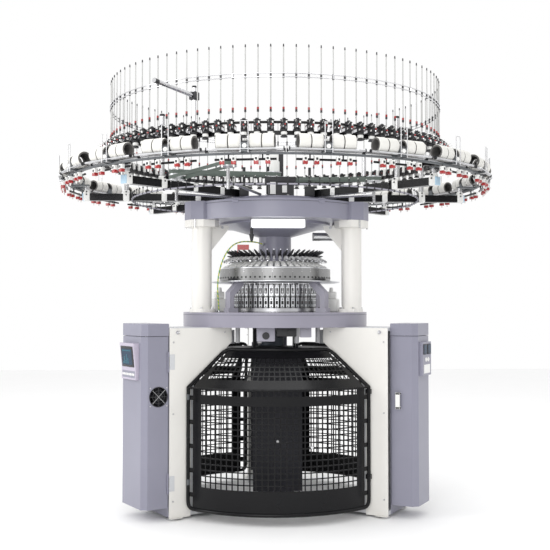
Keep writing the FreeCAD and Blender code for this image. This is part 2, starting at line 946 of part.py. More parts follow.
def gate_tab_plates():
    """Short plates that join the curved sheet to the side tubes."""
    radius, inner = size("gate_radius"), size("gate_radius") - size("gate_sheet")
    low, height = size("gate_bottom"), size("gate_knee") - size("gate_bottom")
    sheet_half, overlap = size("gate_sheet_angle"), 0.3
    reach = (size("gate_half_angle") - sheet_half) / 2 + overlap
    tabs, plates = int(size("gate_tabs")), []
    for k in range(tabs):
        z = low + height * (k + 0.5) / tabs
        for side in (-1, 1):
            tab = sector((inner, inner), (radius, radius), z, z + size("gate_tab"), reach)
            tab.rotate(ORIGIN, UP, side * (sheet_half + reach - overlap))
            plates.append(tab)
    return plates


def gate_shape():
    """One gate centred on -Y: a bent tube frame round a perforated sheet, welded into one piece."""
    pieces = gate_frame() + gate_sheet() + gate_tab_plates()
    solid = pieces[0].multiFuse(pieces[1:])
    return solid.cut(Part.makeCompound(upright_holes() + sloping_holes()))


def make_gates():
    shape = gate_shape()
    for name, degrees in (("gate_front", 0), ("gate_right", 120), ("gate_left", 240)):
        gate = doc.addObject("Part::Feature", "Gate")
        gate.Shape = shape.copy()
        gate.Placement = FreeCAD.Placement(ORIGIN, FreeCAD.Rotation(UP, degrees))
        keep(gate, name)


def make_gate_lugs():
    """Bored blocks on each leg's -Y side that a gate's hinge tube turns in, and rests on."""
    radius, half = size("gate_radius"), size("gate_half_angle")
    side, reach = size("leg_half") + size("sheet"), size("lug_half")
    angle = math.radians(270 + half - LEG_ANGLES["right"])
    x, y = radius * math.cos(angle), radius * math.sin(angle)
    lugs = doc.addObject("Part::Feature", "Lugs")
    solids = []
    for degrees in LEG_ANGLES.values():
        for low in (size("lug_low"), size("lug_high")):
            corner = V(x - reach, y - reach, low)
            block = Part.makeBox(2 * reach, -side - (y - reach), size("lug_height"), corner)
            bore = Part.makeCylinder(size("gate_tube") + size("running_gap"), 100, V(x, y, low - 20))
            solid = block.cut(bore)
            solid.rotate(ORIGIN, UP, degrees)
            solids.append(solid)
    lugs.Shape = Part.makeCompound(solids)
    keep(lugs, "gate_lugs")


# ---------------------------------------------------------------- bed, gears and cylinder


def involute_gear(teeth, bore, bottom):
    """A spur gear as one prism, with its flanks thinned for backlash."""
    module, width = size("gear_module"), size("gear_width")
    pitch, pressure = module * teeth / 2, math.radians(20)
    base = pitch * math.cos(pressure)
    tip, root = pitch + module, pitch - 1.3 * module
    half_tooth = math.pi / (2 * teeth) - size("gear_backlash") / (4 * pitch)
    rolled = math.tan(pressure) - pressure

    def flank(radius):
        """Half the tooth's angle at a radius: wide at the root, narrow at the tip."""
        spread = math.sqrt(max((radius / base) ** 2 - 1, 0))
        return half_tooth + rolled - (spread - math.atan(spread))

    radii = [max(root, base)] + [pitch - 0.4 * module, pitch, pitch + 0.5 * module, tip]
    corners = []
    for k in range(teeth):
        centre = 2 * math.pi * k / teeth
        side = [(root, -flank(radii[0]))] + [(r, -flank(r)) for r in radii]
        side += [(r, -a) for r, a in reversed(side)]
        for r, a in side:
            point = V(r * math.cos(centre + a), r * math.sin(centre + a), bottom)
            if not corners or (point - corners[-1]).Length > 1e-6:
                corners.append(point)
    wheel = Part.Face(Part.makePolygon(corners + corners[:1])).extrude(V(0, 0, width))
    return wheel.cut(Part.makeCylinder(bore, 2 * width, V(0, 0, bottom - width / 2)))


def gear_feature(shape):
    item = doc.addObject("Part::Feature", "Gear")
    item.Shape = shape
    return item


def make_bed():
    """The cast bed: an annular trough with a raised track that the cylinder gear runs on."""
    trough = turned(
        [
            ("bed_hole", "bed_bottom"),
            ("bed_radius", "bed_bottom"),
            ("bed_radius", "bed_top - bed_lid"),
            ("bed_radius - bed_wall", "bed_top - bed_lid"),
            ("bed_radius - bed_wall", "bed_bottom + bed_floor"),
            ("track_out", "bed_bottom + bed_floor"),
            ("track_out", "bed_gear_bottom - running_gap"),
            ("track_in", "bed_gear_bottom - running_gap"),
            ("track_in", "bed_bottom + bed_floor"),
            ("bed_hole", "bed_bottom + bed_floor"),
        ]
    )
    shaft_bore = "shaft_radius + running_gap"
    shaft_hole = rod(("0", "column_circle", "bed_bottom - 5"), shaft_bore, "bed_floor + 10")
    lid = turned(
        [
            ("cylinder_radius + cam_sleeve / 2", "bed_top - bed_lid"),
            ("bed_radius", "bed_top - bed_lid"),
            ("bed_radius", "bed_top"),
            ("cylinder_radius + cam_sleeve / 2", "bed_top"),
        ]
    )
    lid_hole = rod(("0", "column_circle", "bed_top - bed_lid - 5"), shaft_bore, "bed_lid + 10")
    keep(group(cut(trough, shaft_hole), cut(lid, lid_hole)), "bed_ring_and_cover")


def make_gears():
    """The cylinder gear, the dial gear with its shaft and dial, and the drive shaft with two pinions."""
    teeth, pinion_teeth = int(size("gear_teeth")), int(size("pinion_teeth"))
    low, high, width = size("bed_gear_bottom"), size("top_gear_bottom"), size("gear_width")
    keep(gear_feature(involute_gear(teeth, size("gear_bore"), low)), "cylinder_gear")
    keep(gear_feature(involute_gear(teeth, size("dial_shaft"), high)), "dial_gear")

    half_pitch = 180.0 / pinion_teeth
    shapes = []
    for bottom in (low, high):
        pinion = involute_gear(pinion_teeth, size("shaft_radius"), bottom)
        # the ring gear's tooth nearest +Y stands at a whole number of pitches from +X
        tooth = 360.0 / teeth
        lag = (90.0 % tooth) / tooth
        pinion.rotate(ORIGIN, UP, 270 + half_pitch + lag * 2 * half_pitch)
        pinion.translate(V(0, size("column_circle"), 0))
        shapes.append(pinion)
    motor_top = size("bed_bottom") - size("leg_top_plate") - size("motor_flange") + size("running_gap")
    length = high + width - motor_top
    shaft = Part.makeCylinder(size("shaft_radius"), length, V(0, size("column_circle"), motor_top))
    drive = doc.addObject("Part::Feature", "Drive")
    drive.Shape = shaft.multiFuse(shapes)
    keep(drive, "drive_shaft")


def make_cylinder():
    """The needle cylinder on the cylinder gear, with a flange at its foot."""
    foot = "bed_gear_bottom + gear_width"
    keep(
        turned(
            [
                ("gear_bore", foot),
                ("cylinder_radius", foot),
                ("cylinder_radius", "cylinder_top"),
                ("cylinder_radius - cylinder_wall", "cylinder_top"),
                ("cylinder_radius - cylinder_wall", f"{foot} + cylinder_wall"),
                ("gear_bore", f"{foot} + cylinder_wall"),
            ]
        ),
        "needle_cylinder",
    )


def make_cams():
    """The cam carrier round the cylinder, and its two rows of cam boxes."""
    inner = "cylinder_radius + cam_sleeve / 2"
    keep(
        turned(
            [
                (inner, "bed_top"),
                ("cam_base_radius", "bed_top"),
                ("cam_base_radius", "cam_base_top"),
                (f"{inner} + cam_sleeve", "cam_base_top"),
                (f"{inner} + cam_sleeve", "cam_sleeve_top"),
                (inner, "cam_sleeve_top"),
            ]
        ),
        "cam_carrier",
    )
    face = f"{inner} + cam_sleeve + 0.5"
    lower = box(
        (face, "-cam_lower_width / 2", "cam_base_top"),
        (f"cam_radius - ({face})", "cam_lower_width", "cam_lower_top - cam_base_top"),
    )
    upper = box(
        (face, "-cam_upper_width / 2", "cam_lower_top"),
        (f"cam_radius - ({face})", "cam_upper_width", "cam_upper_top - cam_lower_top"),
    )
    ring_of("cam_boxes", group(lower, upper), evenly(size("cam_count")))


# ---------------------------------------------------------------- disc, dial and yarn guides


def make_disc():
    lip = "disc_thick / 2"
    keep(
        turned(
            [
                ("disc_in", "disc_bottom"),
                ("disc_radius - 30", "disc_bottom"),
                ("disc_radius", f"disc_bottom + {lip} - 2"),
                ("disc_radius", f"disc_bottom + {lip} + 2"),
                ("segment_radius + 12", "disc_bottom + disc_thick"),
                ("disc_in", "disc_bottom + disc_thick"),
            ]
        ),
        "dust_disc",
    )
    bracket = plate(
        "XZ_Plane",
        [
            ("bracket_post_in - 35", "bed_top"),
            ("bracket_out", "bed_top"),
            ("bracket_out", "bed_top + 26"),
            ("bracket_out - 12", "bed_top + 26"),
            ("bracket_out - 12", "disc_bottom - 62"),
            ("bracket_top_in + 50", "disc_bottom"),
            ("bracket_top_in", "disc_bottom"),
            ("bracket_top_in", "disc_bottom - 14"),
            ("bracket_post_in", "disc_bottom - 84"),
            ("bracket_post_in", "bed_top + 26"),
            ("bracket_post_in - 35", "bed_top + 26"),
        ],
        "-bracket_half",
        "2 * bracket_half",
    )
    ring_of("disc_brackets", bracket, evenly(size("bracket_count"), 45))


def make_segments():
    """The ring of dial cam segments, each with two socket screws' holes."""
    count = size("segment_count")
    pitch = 360.0 / count
    radius, depth = size("segment_radius"), size("segment_depth")
    low = size("disc_bottom") + size("disc_thick")
    seam = math.degrees(size("segment_seam") / radius)
    half = (pitch - seam) / 2
    segment = sector((radius - depth,) * 2, (radius,) * 2, low, size("segment_top"), half)
    holes = []
    for side in (-1, 1):
        hole = Part.makeCylinder(size("segment_hole"), 12, V(radius - 8, 0, low + 18), V(1, 0, 0))
        hole.rotate(ORIGIN, UP, 270 + side * pitch / 4)
        holes.append(hole)
    pattern = doc.addObject("Part::Feature", "Segment")
    pattern.Shape = segment.cut(holes[0]).cut(holes[1])
    ring_of("cam_segments", pattern, evenly(count))


def make_dial_cap():
    """The stationary cover over the dial, a shallow cone that stands on the segments."""
    wall = "dial_cap_wall"
    bore = "dial_shaft + running_gap"
    keep(
        turned(
            [
                (bore, f"dial_cap_top - {wall}"),
                (f"dial_cap_crown - {wall}", f"dial_cap_top - {wall}"),
                (f"dial_cap_rim - {wall}", "segment_top"),
                ("dial_cap_rim + 8", "segment_top"),
                ("dial_cap_rim + 8", "segment_top + 6"),
                ("dial_cap_rim", "segment_top + 6"),
                ("dial_cap_crown", "dial_cap_top"),
                (bore, "dial_cap_top"),
            ]
        ),
        "dial_cap",
    )


def make_dial():
    keep(
        turned(
            [
                ("0", "dial_bottom"),
                ("dial_radius", "dial_bottom"),
                ("dial_radius", "dial_bottom + dial_thick"),
                ("dial_shaft", "dial_bottom + dial_thick"),
                ("dial_shaft", "top_gear_bottom + gear_width + 6"),
                ("0", "top_gear_bottom + gear_width + 6"),
            ]
        ),
        "dial_and_shaft",
    )


def make_yarn_guides():
    """Black feeding fingers that stand in a ring on the dial cap."""
    foot = "dial_cap_crown"
    finger = plate(
        "XZ_Plane",
        [
            (f"{foot} - 26", "dial_cap_top"),
            (f"{foot} - 4", "dial_cap_top"),
            (f"{foot} + 6", "dial_cap_top + 30"),
            (f"{foot} + 72", "dial_cap_top + 10"),
            (f"{foot} + 78", "dial_cap_top + 16"),
            (f"{foot} + 20", "dial_cap_top + 44"),
            (f"{foot} + 62", "dial_cap_top + 68"),
            (f"{foot} + 58", "dial_cap_top + 74"),
            (f"{foot} - 6", "dial_cap_top + 50"),
            (f"{foot} - 26", "dial_cap_top + 44"),
        ],
        "-guide_thick / 2",
        "guide_thick",
    )
    ring_of("yarn_guides", finger, evenly(size("guide_count"), 180.0 / size("guide_count")))


# ---------------------------------------------------------------- columns and top frame


def octagon(half, bottom, height):
    """An eight-sided prism round a column's axis, one flat facing outwards."""
    corner = f"({half}) * 0.4142"
    points = [
        (f"column_circle + {half}", f"-{corner}"),
        (f"column_circle + {half}", corner),
        (f"column_circle + {corner}", half),
        (f"column_circle - {corner}", half),
        (f"column_circle - {half}", corner),
        (f"column_circle - {half}", f"-{corner}"),
        (f"column_circle - {corner}", f"-{half}"),
        (f"column_circle + {corner}", f"-{half}"),
    ]
    return plate("XY_Plane", points, bottom, height)


def make_columns():
    """Hollow columns with a round foot, an eight-sided cap and a gusset that points to the hub."""
    shank = rod(("column_circle", "0", "bed_top"), "column_radius", "top_bottom - bed_top")
    foot = doc.addObject("Part::Common", "Foot")
    foot.Base = rod(("column_circle", "0", "bed_top"), "column_foot_radius", "column_foot")
    foot.Tool = rod(("0", "0", "bed_top"), "bed_radius - 4", "column_foot")
    cap = octagon("lobe_half - 2", "top_bottom - column_cap", "column_cap")
    gusset = plate(
        "XZ_Plane",
        [
            ("gusset_in", "top_bottom - column_cap"),
            ("gusset_in", "top_bottom - column_cap + 20"),
            ("column_circle", "top_bottom - column_cap + 20"),
            ("column_circle", "top_bottom - column_cap - gusset_drop"),
            ("column_circle - column_radius", "top_bottom - column_cap - gusset_drop"),
        ],
        "-gusset_thick / 2",
        "gusset_thick",
    )
    bore = rod(("column_circle", "0", "bed_top - 5"), "column_bore", "top_bottom - bed_top + 10")
    column = cut(fuse(shank, foot, cap, gusset), bore)
    ring_of("columns", column, LEG_ANGLES.values())


def top_outline(bottom, height, radius="top_radius"):
    """The top frame's plan: a round drum and three eight-sided lobes over the columns."""
    drum = rod(("0", "0", bottom), radius, height)
    lobes = [turn(octagon("lobe_half", bottom, height), degrees) for degrees in LEG_ANGLES.values()]
    return fuse(drum, *lobes)


def make_top_frame():
    low, floor = "top_bottom", "top_floor"
    depth = "top_lid_bottom - top_bottom"
    cavity = rod(("0", "0", f"{low} + {floor}"), "top_radius - top_wall", depth)
    pinion_room = rod(("0", "column_circle", f"{low} + {floor}"), "column_bore", depth)
    shaft_hole = rod(("0", "column_circle", f"{low} - 5"), "shaft_radius + running_gap", f"{floor} + 10")
    centre = rod(("0", "0", f"{low} - 5"), "dial_shaft + running_gap", f"{floor} + 10")
    frame = cut(top_outline(low, depth), cavity, pinion_room, shaft_hole, centre)

    lid = top_outline("top_lid_bottom", "top_lid")
    boss = rod(("0", "0", "top_lid_bottom + top_lid"), "boss_radius", "boss_top - top_lid_bottom - top_lid")
    hollow_height = "boss_top - boss_plate - top_lid_bottom + 5"
    hollow = rod(("0", "0", "top_lid_bottom - 5"), "boss_radius - boss_wall", hollow_height)
    keep(group(frame, cut(fuse(lid, boss), hollow)), "top_frame_and_cover")

    keep(
        turned(
            [
                ("dial_shaft + running_gap", "dial_cap_top"),
                ("hub_radius", "dial_cap_top"),
                ("hub_radius", "hub_cone_bottom"),
                ("boss_radius", "top_bottom - hub_flange"),
                ("boss_radius", "top_bottom"),
                ("dial_shaft + running_gap", "top_bottom"),
            ]
        ),
        "dial_hub",
    )


def make_lamps():
    """The lamp bar at the front of the top frame, and the round work lamp at its right."""
    low = "top_bottom - lamp_height"
    bar = plate(
        "XZ_Plane",
        [
            ("-lamp_half", "top_bottom"),
            ("lamp_half", "top_bottom"),
            ("lamp_half", f"{low} + lamp_corner"),
            ("lamp_half - lamp_corner", low),
            ("lamp_corner - lamp_half", low),
            ("-lamp_half", f"{low} + lamp_corner"),
        ],
        "lamp_front - lamp_depth",
        "lamp_depth",
    )
    centre = "top_bottom - side_lamp_drop"
    tube = rod(("side_lamp_in", "-side_lamp_back", centre), "side_lamp_radius", "side_lamp_length", "X")
    stem = box(
        (
            "side_lamp_in + side_lamp_length - side_lamp_stem",
            "-side_lamp_back - side_lamp_stem / 2",
            centre,
        ),
        ("side_lamp_stem", "side_lamp_stem", "side_lamp_drop"),
    )
    keep(group(bar, fuse(tube, stem)), "lamp_bar_and_work_lamp")


# ---------------------------------------------------------------- creel


def make_arms():
    """Square black tubes that lie on the boss and reach out under the rings."""
    arm = box(("arm_in", "-arm_width / 2", "boss_top"), ("arm_out - arm_in", "arm_width", "arm_width"))
    ring_of("creel_arms", arm, ARM_ANGLES)


def arm_clamp(x):
    """An open saddle over an arm."""
    outer = box(
        (f"{x} - clamp_width / 2", "-arm_width / 2 - clamp_wall", "boss_top"),
        ("clamp_width", "arm_width + 2 * clamp_wall", "arm_width + clamp_wall"),
    )
    inner = box(
        (f"{x} - clamp_width", "-arm_width / 2 - 0.1", "boss_top - 1"),
        ("2 * clamp_width", "arm_width + 0.2", "arm_width + 1.1"),
    )
    return cut(outer, inner)


def make_posts():
    """Posts in clamps: the inner ones hold the feeder rail, the outer ones the elastane rail."""
    seat = "boss_top + arm_width + clamp_wall"
    inner = fuse(
        arm_clamp("post_circle"),
        rod(("post_circle", "0", seat), "post_radius", f"post_top - ({seat})"),
    )
    outer = fuse(
        arm_clamp("outer_post_circle"),
        rod(("outer_post_circle", "0", seat), "post_radius", f"elastane_rail_bottom - ({seat})"),
    )
    ring_of("creel_posts", group(inner, outer), ARM_ANGLES)


def rail(circle, width, bottom, height):
    return turned(
        [
            (f"{circle} - {width} / 2", bottom),
            (f"{circle} + {width} / 2", bottom),
            (f"{circle} + {width} / 2", f"{bottom} + {height}"),
            (f"{circle} - {width} / 2", f"{bottom} + {height}"),
        ]
    )


def make_feeder_rail():
    """The feeder rail with a bored lug for each inner post."""
    ring = rail("feeder_circle", "feeder_rail_width", "feeder_rail_bottom", "feeder_rail_height")
    lugs, bores = [], []
    for degrees in ARM_ANGLES:
        lug = box(
            ("post_circle", "-post_radius", "feeder_rail_bottom"),
            ("feeder_circle - post_circle", "2 * post_radius", "feeder_rail_height"),
        )
        collar = rod(("post_circle", "0", "feeder_rail_bottom"), "post_radius * 1.7", "feeder_rail_height")
        bore = rod(
            ("post_circle", "0", "feeder_rail_bottom - 5"),
            "post_radius + running_gap",
            "feeder_rail_height + 10",
        )
        lugs += [turn(lug, degrees), turn(collar, degrees)]
        bores.append(turn(bore, degrees))
    keep(cut(fuse(ring, *lugs), *bores), "feeder_rail")


def make_feeders():
    """Positive yarn feeders: a body on the rail, a belt pulley over it, a storage wheel under it."""
    seat = "feeder_rail_bottom + feeder_rail_height"
    body = box(
        ("feeder_circle - feeder_rail_width / 2", "-feeder_width / 2", seat),
        ("feeder_body_length", "feeder_width", "feeder_body_height"),
    )
    ring_of("feeder_bodies", body, evenly(size("feeder_count")))
    pulley = rod(("wheel_circle", "0", f"{seat} + feeder_body_height"), "pulley_radius", "pulley_height")
    store = rod(("wheel_circle", "0", f"{seat} - store_height"), "store_radius", "store_height")
    ring_of("feeder_wheels", group(pulley, store), evenly(size("feeder_count")))
    tube = rod(
        ("feeder_circle", "0", f"{seat} + feeder_body_height"),
        "rod_radius",
        f"rod_top - ({seat}) - feeder_body_height",
    )
    ring_of("yarn_tubes", tube, evenly(size("feeder_count")))
    inner = "wheel_circle - pulley_radius - running_gap - belt_thick / 2"
    keep(rail(inner, "belt_thick", f"{seat} + feeder_body_height + 3", "belt_height"), "feeder_belt")


def make_tube_rails():
    """Two thin hoops, joined by clips, that hold the yarn tubes upright."""
    circle = "feeder_circle + rod_radius + rod_rail_radius + running_gap"
    hoops = []
    for side in (-1, 1):
        hoop = doc.addObject("Part::Torus", "Hoop")
        bind(hoop, "Radius1", circle)
        bind(hoop, "Radius2", "rod_rail_radius")
        place(hoop, ("0", "0", f"rod_rail_height + {side} * rod_rail_spacing / 2"))
        hoops.append(hoop)
    clips = []
    for degrees in evenly(12, 15):
        clip = box(
            (f"{circle} - 2", "-4", "rod_rail_height - rod_rail_spacing / 2"), ("6", "8", "rod_rail_spacing")
        )
        clips.append(turn(clip, degrees))
    keep(fuse(*hoops, *clips), "tube_hoops")


def make_outrigger():
    """A post on the feeder rail with a pipe clamped across it, where yarn tubes from a side creel end."""
    x = "feeder_circle - feeder_rail_width / 2 - outrigger_radius"
    post = rod((x, "0", "feeder_rail_bottom"), "outrigger_radius", "outrigger_post_top - feeder_rail_bottom")
    pipe = rod((x, "0", "outrigger_height"), "outrigger_radius", f"outrigger_out - ({x})", "X")
    clamp = box(
        (f"{x} - 20", "-20", "outrigger_height - 20"),
        ("40", "40", "40"),
    )
    item = fuse(post, pipe, clamp)
    # the pipe passes between two yarn tubes
    pitch = 360.0 / size("feeder_count")
    nearest = (math.floor(size("outrigger_angle") / pitch) + 0.5) * pitch
    keep(turn(item, nearest), "outrigger")


def make_elastane():
    """Elastane stations: a gear housing on the rail, two pairs of rollers, four bobbins."""
    seat = "elastane_rail_bottom + elastane_rail_height"
    ring = rail("elastane_circle", "elastane_rail_width", "elastane_rail_bottom", "elastane_rail_height")
    struts = []
    for degrees in ARM_ANGLES:
        strut = box(
            ("outer_post_circle - post_radius", "-post_radius", "elastane_rail_bottom"),
            ("elastane_circle - outer_post_circle + post_radius", "2 * post_radius", "elastane_rail_height"),
        )
        struts.append(turn(strut, degrees))
    stations = evenly(size("elastane_count"), 9)
    housing = box(
        ("elastane_circle - roller_spread - roller_radius - 4", "-housing_half", seat),
        ("2 * (roller_spread + roller_radius + 4)", "2 * housing_half", "housing_height"),
    )
    doc.recompute()
    housings = doc.addObject("Part::Feature", "Housings")
    housings.Shape = Part.makeCompound([turned_copy(housing, degrees) for degrees in stations])
    keep(group(fuse(ring, *struts), housings), "elastane_rail_and_housings")
    axle = f"{seat} + roller_lift"
    rollers = [
        rod(
            (f"elastane_circle + {side} * roller_spread", low, axle),
            "roller_radius",
            "roller_reach - housing_half",
            "Y",
        )
        for side in (-1, 1)
        for low in ("housing_half", "-roller_reach")
    ]
    ring_of("elastane_rollers", group(*rollers), stations)
    reach = "(bobbin_radius + roller_radius)"
    rest = f"sqrt({reach} * {reach} - roller_spread * roller_spread)"
    bobbins = []
    for k in range(2):
        start = f"bobbin_start + {k} * (bobbin_width + bobbin_gap)"
        for low in (start, f"-({start}) - bobbin_width"):
            centre = f"{axle} + {rest} + running_gap"
            spool = rod(("elastane_circle", low, centre), "bobbin_radius", "bobbin_width", "Y")
            bore = rod(("elastane_circle", f"{low} - 1", centre), "bobbin_bore", "bobbin_width + 2", "Y")
            bobbins.append(cut(spool, bore))
    ring_of("elastane_bobbins", group(*bobbins), stations)
    guard_x = "elastane_circle + bobbin_radius + wire_radius + 3"
    wires = [
        rod(
            (guard_x, y, "elastane_rail_bottom + 4"),
            "wire_radius",
            "wire_top - elastane_rail_bottom - 4",
        )
        for y in ("bobbin_start - 4", "-bobbin_start + 4")
    ]
    hooks = [
        box(
            ("elastane_circle + elastane_rail_width / 2", f"{y} - 3", "elastane_rail_bottom + 4"),
            ("bobbin_radius + wire_radius + 3 - elastane_rail_width / 2", "6", "6"),
        )
        for y in ("bobbin_start - 4", "-bobbin_start + 4")
    ]
    ring_of("guard_wires", group(*[fuse(w, h) for w, h in zip(wires, hooks)]), stations)


def make_sensors():
    """A bar under each elastane station that carries four yarn sensors."""
    stations = evenly(size("elastane_count"), 9)
    x = "elastane_circle"
    bar = rod((x, "-sensor_bar_half", "sensor_bar_height"), "sensor_bar_radius", "2 * sensor_bar_half", "Y")
    hangers = [
        rod((x, y, "sensor_bar_height"), "4", "elastane_rail_bottom - sensor_bar_height")
        for y in ("-sensor_bar_half / 2 - 8", "sensor_bar_half / 2 + 8")
    ]
    ring_of("sensor_bars", fuse(bar, *hangers), stations)
    sensors = [
        box(
            (
                f"{x} + sensor_bar_radius + running_gap",
                f"{y} - sensor_width / 2",
                "sensor_bar_height + sensor_bar_radius - sensor_drop",
            ),
            ("sensor_depth", "sensor_width", "sensor_drop + 8"),
        )
        for y in ("sensor_inner", "sensor_outer", "-sensor_inner", "-sensor_outer")
    ]
    ring_of("yarn_sensors", group(*sensors), stations)


def make_guide_ring():
    """The flat hoop that hangs under the arms and leads the yarn down to the knitting head."""
    bottom = "boss_top - guide_ring_height"
    keep(rail("guide_ring_circle", "guide_ring_width", bottom, "guide_ring_height"), "guide_ring")


def make_drive_box():
    """The belt drive and the junction box that stand on the boss."""
    drive = box(
        ("-drive_box_width / 3", "-boss_radius + 30", "boss_top"),
        ("drive_box_width", "drive_box_depth", "drive_box_height"),
    )
    junction = box(
        ("-junction_width / 2", "0", "boss_top"), ("junction_width", "junction_depth", "junction_height")
    )
    keep(group(drive, junction), "drive_and_junction_boxes")


# ---------------------------------------------------------------- take-down and motor


def make_takedown():
    """The frame that turns with the cylinder under the bed, and draws the fabric down."""
    beam = box(
        ("-frame_beam_half", "-frame_reach", "frame_beam_bottom"),
        ("2 * frame_beam_half", "2 * frame_reach", "frame_beam_height"),
    )
    pivot_low = ("0", "0", "foot_height + spider_height / 2 + 1")
    pivot = rod(pivot_low, "pivot_radius", "frame_beam_bottom - foot_height")
    collar = rod(
        ("0", "0", "spider_hub_top + running_gap"),
        "2 * pivot_radius",
        "frame_beam_bottom - spider_hub_top - running_gap + 1",
    )
    plates = [
        box(
            ("-frame_half", y, "frame_beam_bottom"),
            ("2 * frame_half", "frame_plate", "frame_top - frame_beam_bottom"),
        )
        for y in ("-frame_reach", "frame_reach - frame_plate")
    ]
    top = turned(
        [
            ("gear_bore", "frame_top"),
            ("frame_ring_out", "frame_top"),
            ("frame_ring_out", "frame_top + frame_ring"),
            ("gear_bore", "frame_top + frame_ring"),
        ]
    )
    carriers = [
        turn(
            rod(
                ("carrier_circle", "0", "frame_top + frame_ring / 2"),
                "carrier_radius",
                "bed_gear_bottom - frame_top - frame_ring / 2",
            ),
            degrees,
        )
        for degrees in evenly(4, 45)
    ]
    journals = [
        rod((x, "-frame_reach - 5", z), "journal_radius + running_gap", "2 * frame_reach + 10", "Y")
        for x, z in (
            ("nip_radius + nip_gap / 2", "nip_height"),
            ("-nip_radius - nip_gap / 2", "nip_height"),
            ("0", "winder_height"),
        )
    ]
    keep(cut(fuse(beam, pivot, collar, *plates, top, *carriers), *journals), "takedown_frame")


def frame_roller(x, z, radius):
    """A roller between the side plates, with a journal at each end."""
    inner = "frame_reach - frame_plate - 1"
    barrel = rod((x, f"-({inner})", z), radius, f"2 * ({inner})", "Y")
    axle = rod((x, "-frame_reach", z), "journal_radius", "2 * frame_reach", "Y")
    return fuse(barrel, axle)


def make_rollers():
    keep(frame_roller("-nip_radius - nip_gap / 2", "nip_height", "nip_radius"), "takedown_roller_left")
    keep(frame_roller("nip_radius + nip_gap / 2", "nip_height", "nip_radius"), "takedown_roller_right")
    keep(frame_roller("0", "winder_height", "winder_radius"), "winding_bar")


def make_motor():
    """The drive motor under the rear leg's top plate, on the same axis as the drive shaft."""
    top = "bed_bottom - leg_top_plate"
    can = rod(("0", "column_circle", "motor_bottom"), "motor_radius", f"{top} - motor_flange - motor_bottom")
    neck = cut(
        rod(("0", "column_circle", f"{top} - motor_flange"), "motor_radius * 0.8", "motor_flange"),
        rod(("0", "column_circle", f"{top} - motor_flange"), "shaft_radius + 8", "motor_flange + 5"),
    )
    keep(fuse(can, neck), "drive_motor")


# ---------------------------------------------------------------- earth lead

# Corners of the lead's route from the hub's gland, over the guides and the disc, down to the bed.
LEAD_ROUTE = [
    V(-84, -77, 1652),
    V(-118, -108, 1662),
    V(-166, -140, 1664),
    V(-222, -174, 1662),
    V(-274, -204, 1640),
    V(-314, -226, 1592),
    V(-344, -240, 1528),
    V(-364, -250, 1450),
    V(-370, -256, 1370),
    V(-366, -262, 1300),
    V(-362, -264, 1255),
    V(-361, -264.5, 1227),
]


def lead_path():
    """Straight runs joined by the largest tangent arcs that the runs allow."""
    corners = LEAD_ROUTE
    edges, radii, here = [], [], corners[0]
    for before, corner, after in zip(corners, corners[1:], corners[2:]):
        run_in, run_out = corner - before, after - corner
        angle = run_in.getAngle(run_out)
        setback = 0.45 * min(run_in.Length, run_out.Length)
        radii.append(setback / math.tan(angle / 2))
        start = corner - V(run_in).normalize() * setback
        end = corner + V(run_out).normalize() * setback
        inward = (V(run_out).normalize() - V(run_in).normalize()).normalize()
        gap = radii[-1] * (1 / math.cos(angle / 2) - 1)
        edges.append(Part.LineSegment(here, start).toShape())
        edges.append(Part.Arc(start, corner + inward * gap, end).toShape())
        here = end
    edges.append(Part.LineSegment(here, corners[-1]).toShape())
    print("earth lead radii:", [round(r) for r in radii])
    return Part.Wire(edges)


def make_lead():
    path = lead_path()
    start = LEAD_ROUTE[0]
    heading = LEAD_ROUTE[1] - start
    section = Part.Wire(Part.makeCircle(size("lead_radius"), start, heading))
    tube = path.makePipeShell([section], True, True)
    expected = math.pi * size("lead_radius") ** 2 * path.Length
    print("earth lead length", round(path.Length, 1), "volume ratio", round(tube.Volume / expected, 4))
    lead = doc.addObject("Part::Feature", "Lead")
    lead.Shape = tube
    keep(lead, "earth_lead")

    gland = Part.makeCylinder(size("gland_radius"), 16, start - V(heading).normalize() * 16, heading)
    gland = gland.cut(Part.makeCylinder(size("hub_radius"), 200, V(0, 0, start.z - 100)))
    foot = LEAD_ROUTE[-1]
    lug_low = V(foot.x, foot.y, size("bed_top"))
    lug = Part.makeCylinder(size("gland_radius"), foot.z - size("bed_top"), lug_low)
    ends = doc.addObject("Part::Feature", "LeadEnds")
    ends.Shape = Part.makeCompound([gland, lug])
    keep(ends, "earth_lead_terminals")


# ---------------------------------------------------------------- build and write


def build():
    make_feet()
    make_spider()
    make_legs()
    make_panels()
    make_cabinet_backs_and_lids()
    make_covers()
    make_control_panel()
    make_instrument_panel()
    make_handle()
    make_fan()
    make_gates()
    make_gate_lugs()
    make_bed()
    make_gears()
    make_cylinder()
    make_cams()
    make_disc()
    make_segments()
    make_dial_cap()
    make_dial()
    make_yarn_guides()
    make_columns()
    make_top_frame()
    make_lamps()
    make_arms()
    make_posts()
    make_feeder_rail()
    make_feeders()
    make_tube_rails()
    make_outrigger()
    make_elastane()
    make_sensors()
    make_guide_ring()
    make_drive_box()
    make_takedown()
    make_rollers()
    make_motor()
    make_lead()


def check():
    """Stops the build if any feature failed or any sub-part is not a valid solid."""
    doc.recompute()
    for item in doc.Objects:
        if "Invalid" in item.State or "Error" in item.State:
            raise RuntimeError(f"{item.Label} failed: {item.State}")
    for item in subparts:
        shape = item.Shape
        if shape.isNull() or not shape.isValid() or not shape.Solids:
            raise RuntimeError(f"{item.Label} is not a valid solid")


def write():
    os.makedirs("parts", exist_ok=True)
    for item in subparts:
        item.Shape.exportStep(os.path.join("parts", item.Label + ".step"))
    print(len(subparts), "sub-parts,", sum(len(item.Shape.Solids) for item in subparts), "solids")


build()
check()
write()
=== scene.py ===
# %% [markdown]
# # A circular knitting machine
# The exact model of the machine is loaded first, as a fixed frame. Everything made here is finish
# and small detail that is put on that frame: paint, metal, yarn, screws, lamps and guides.

import math

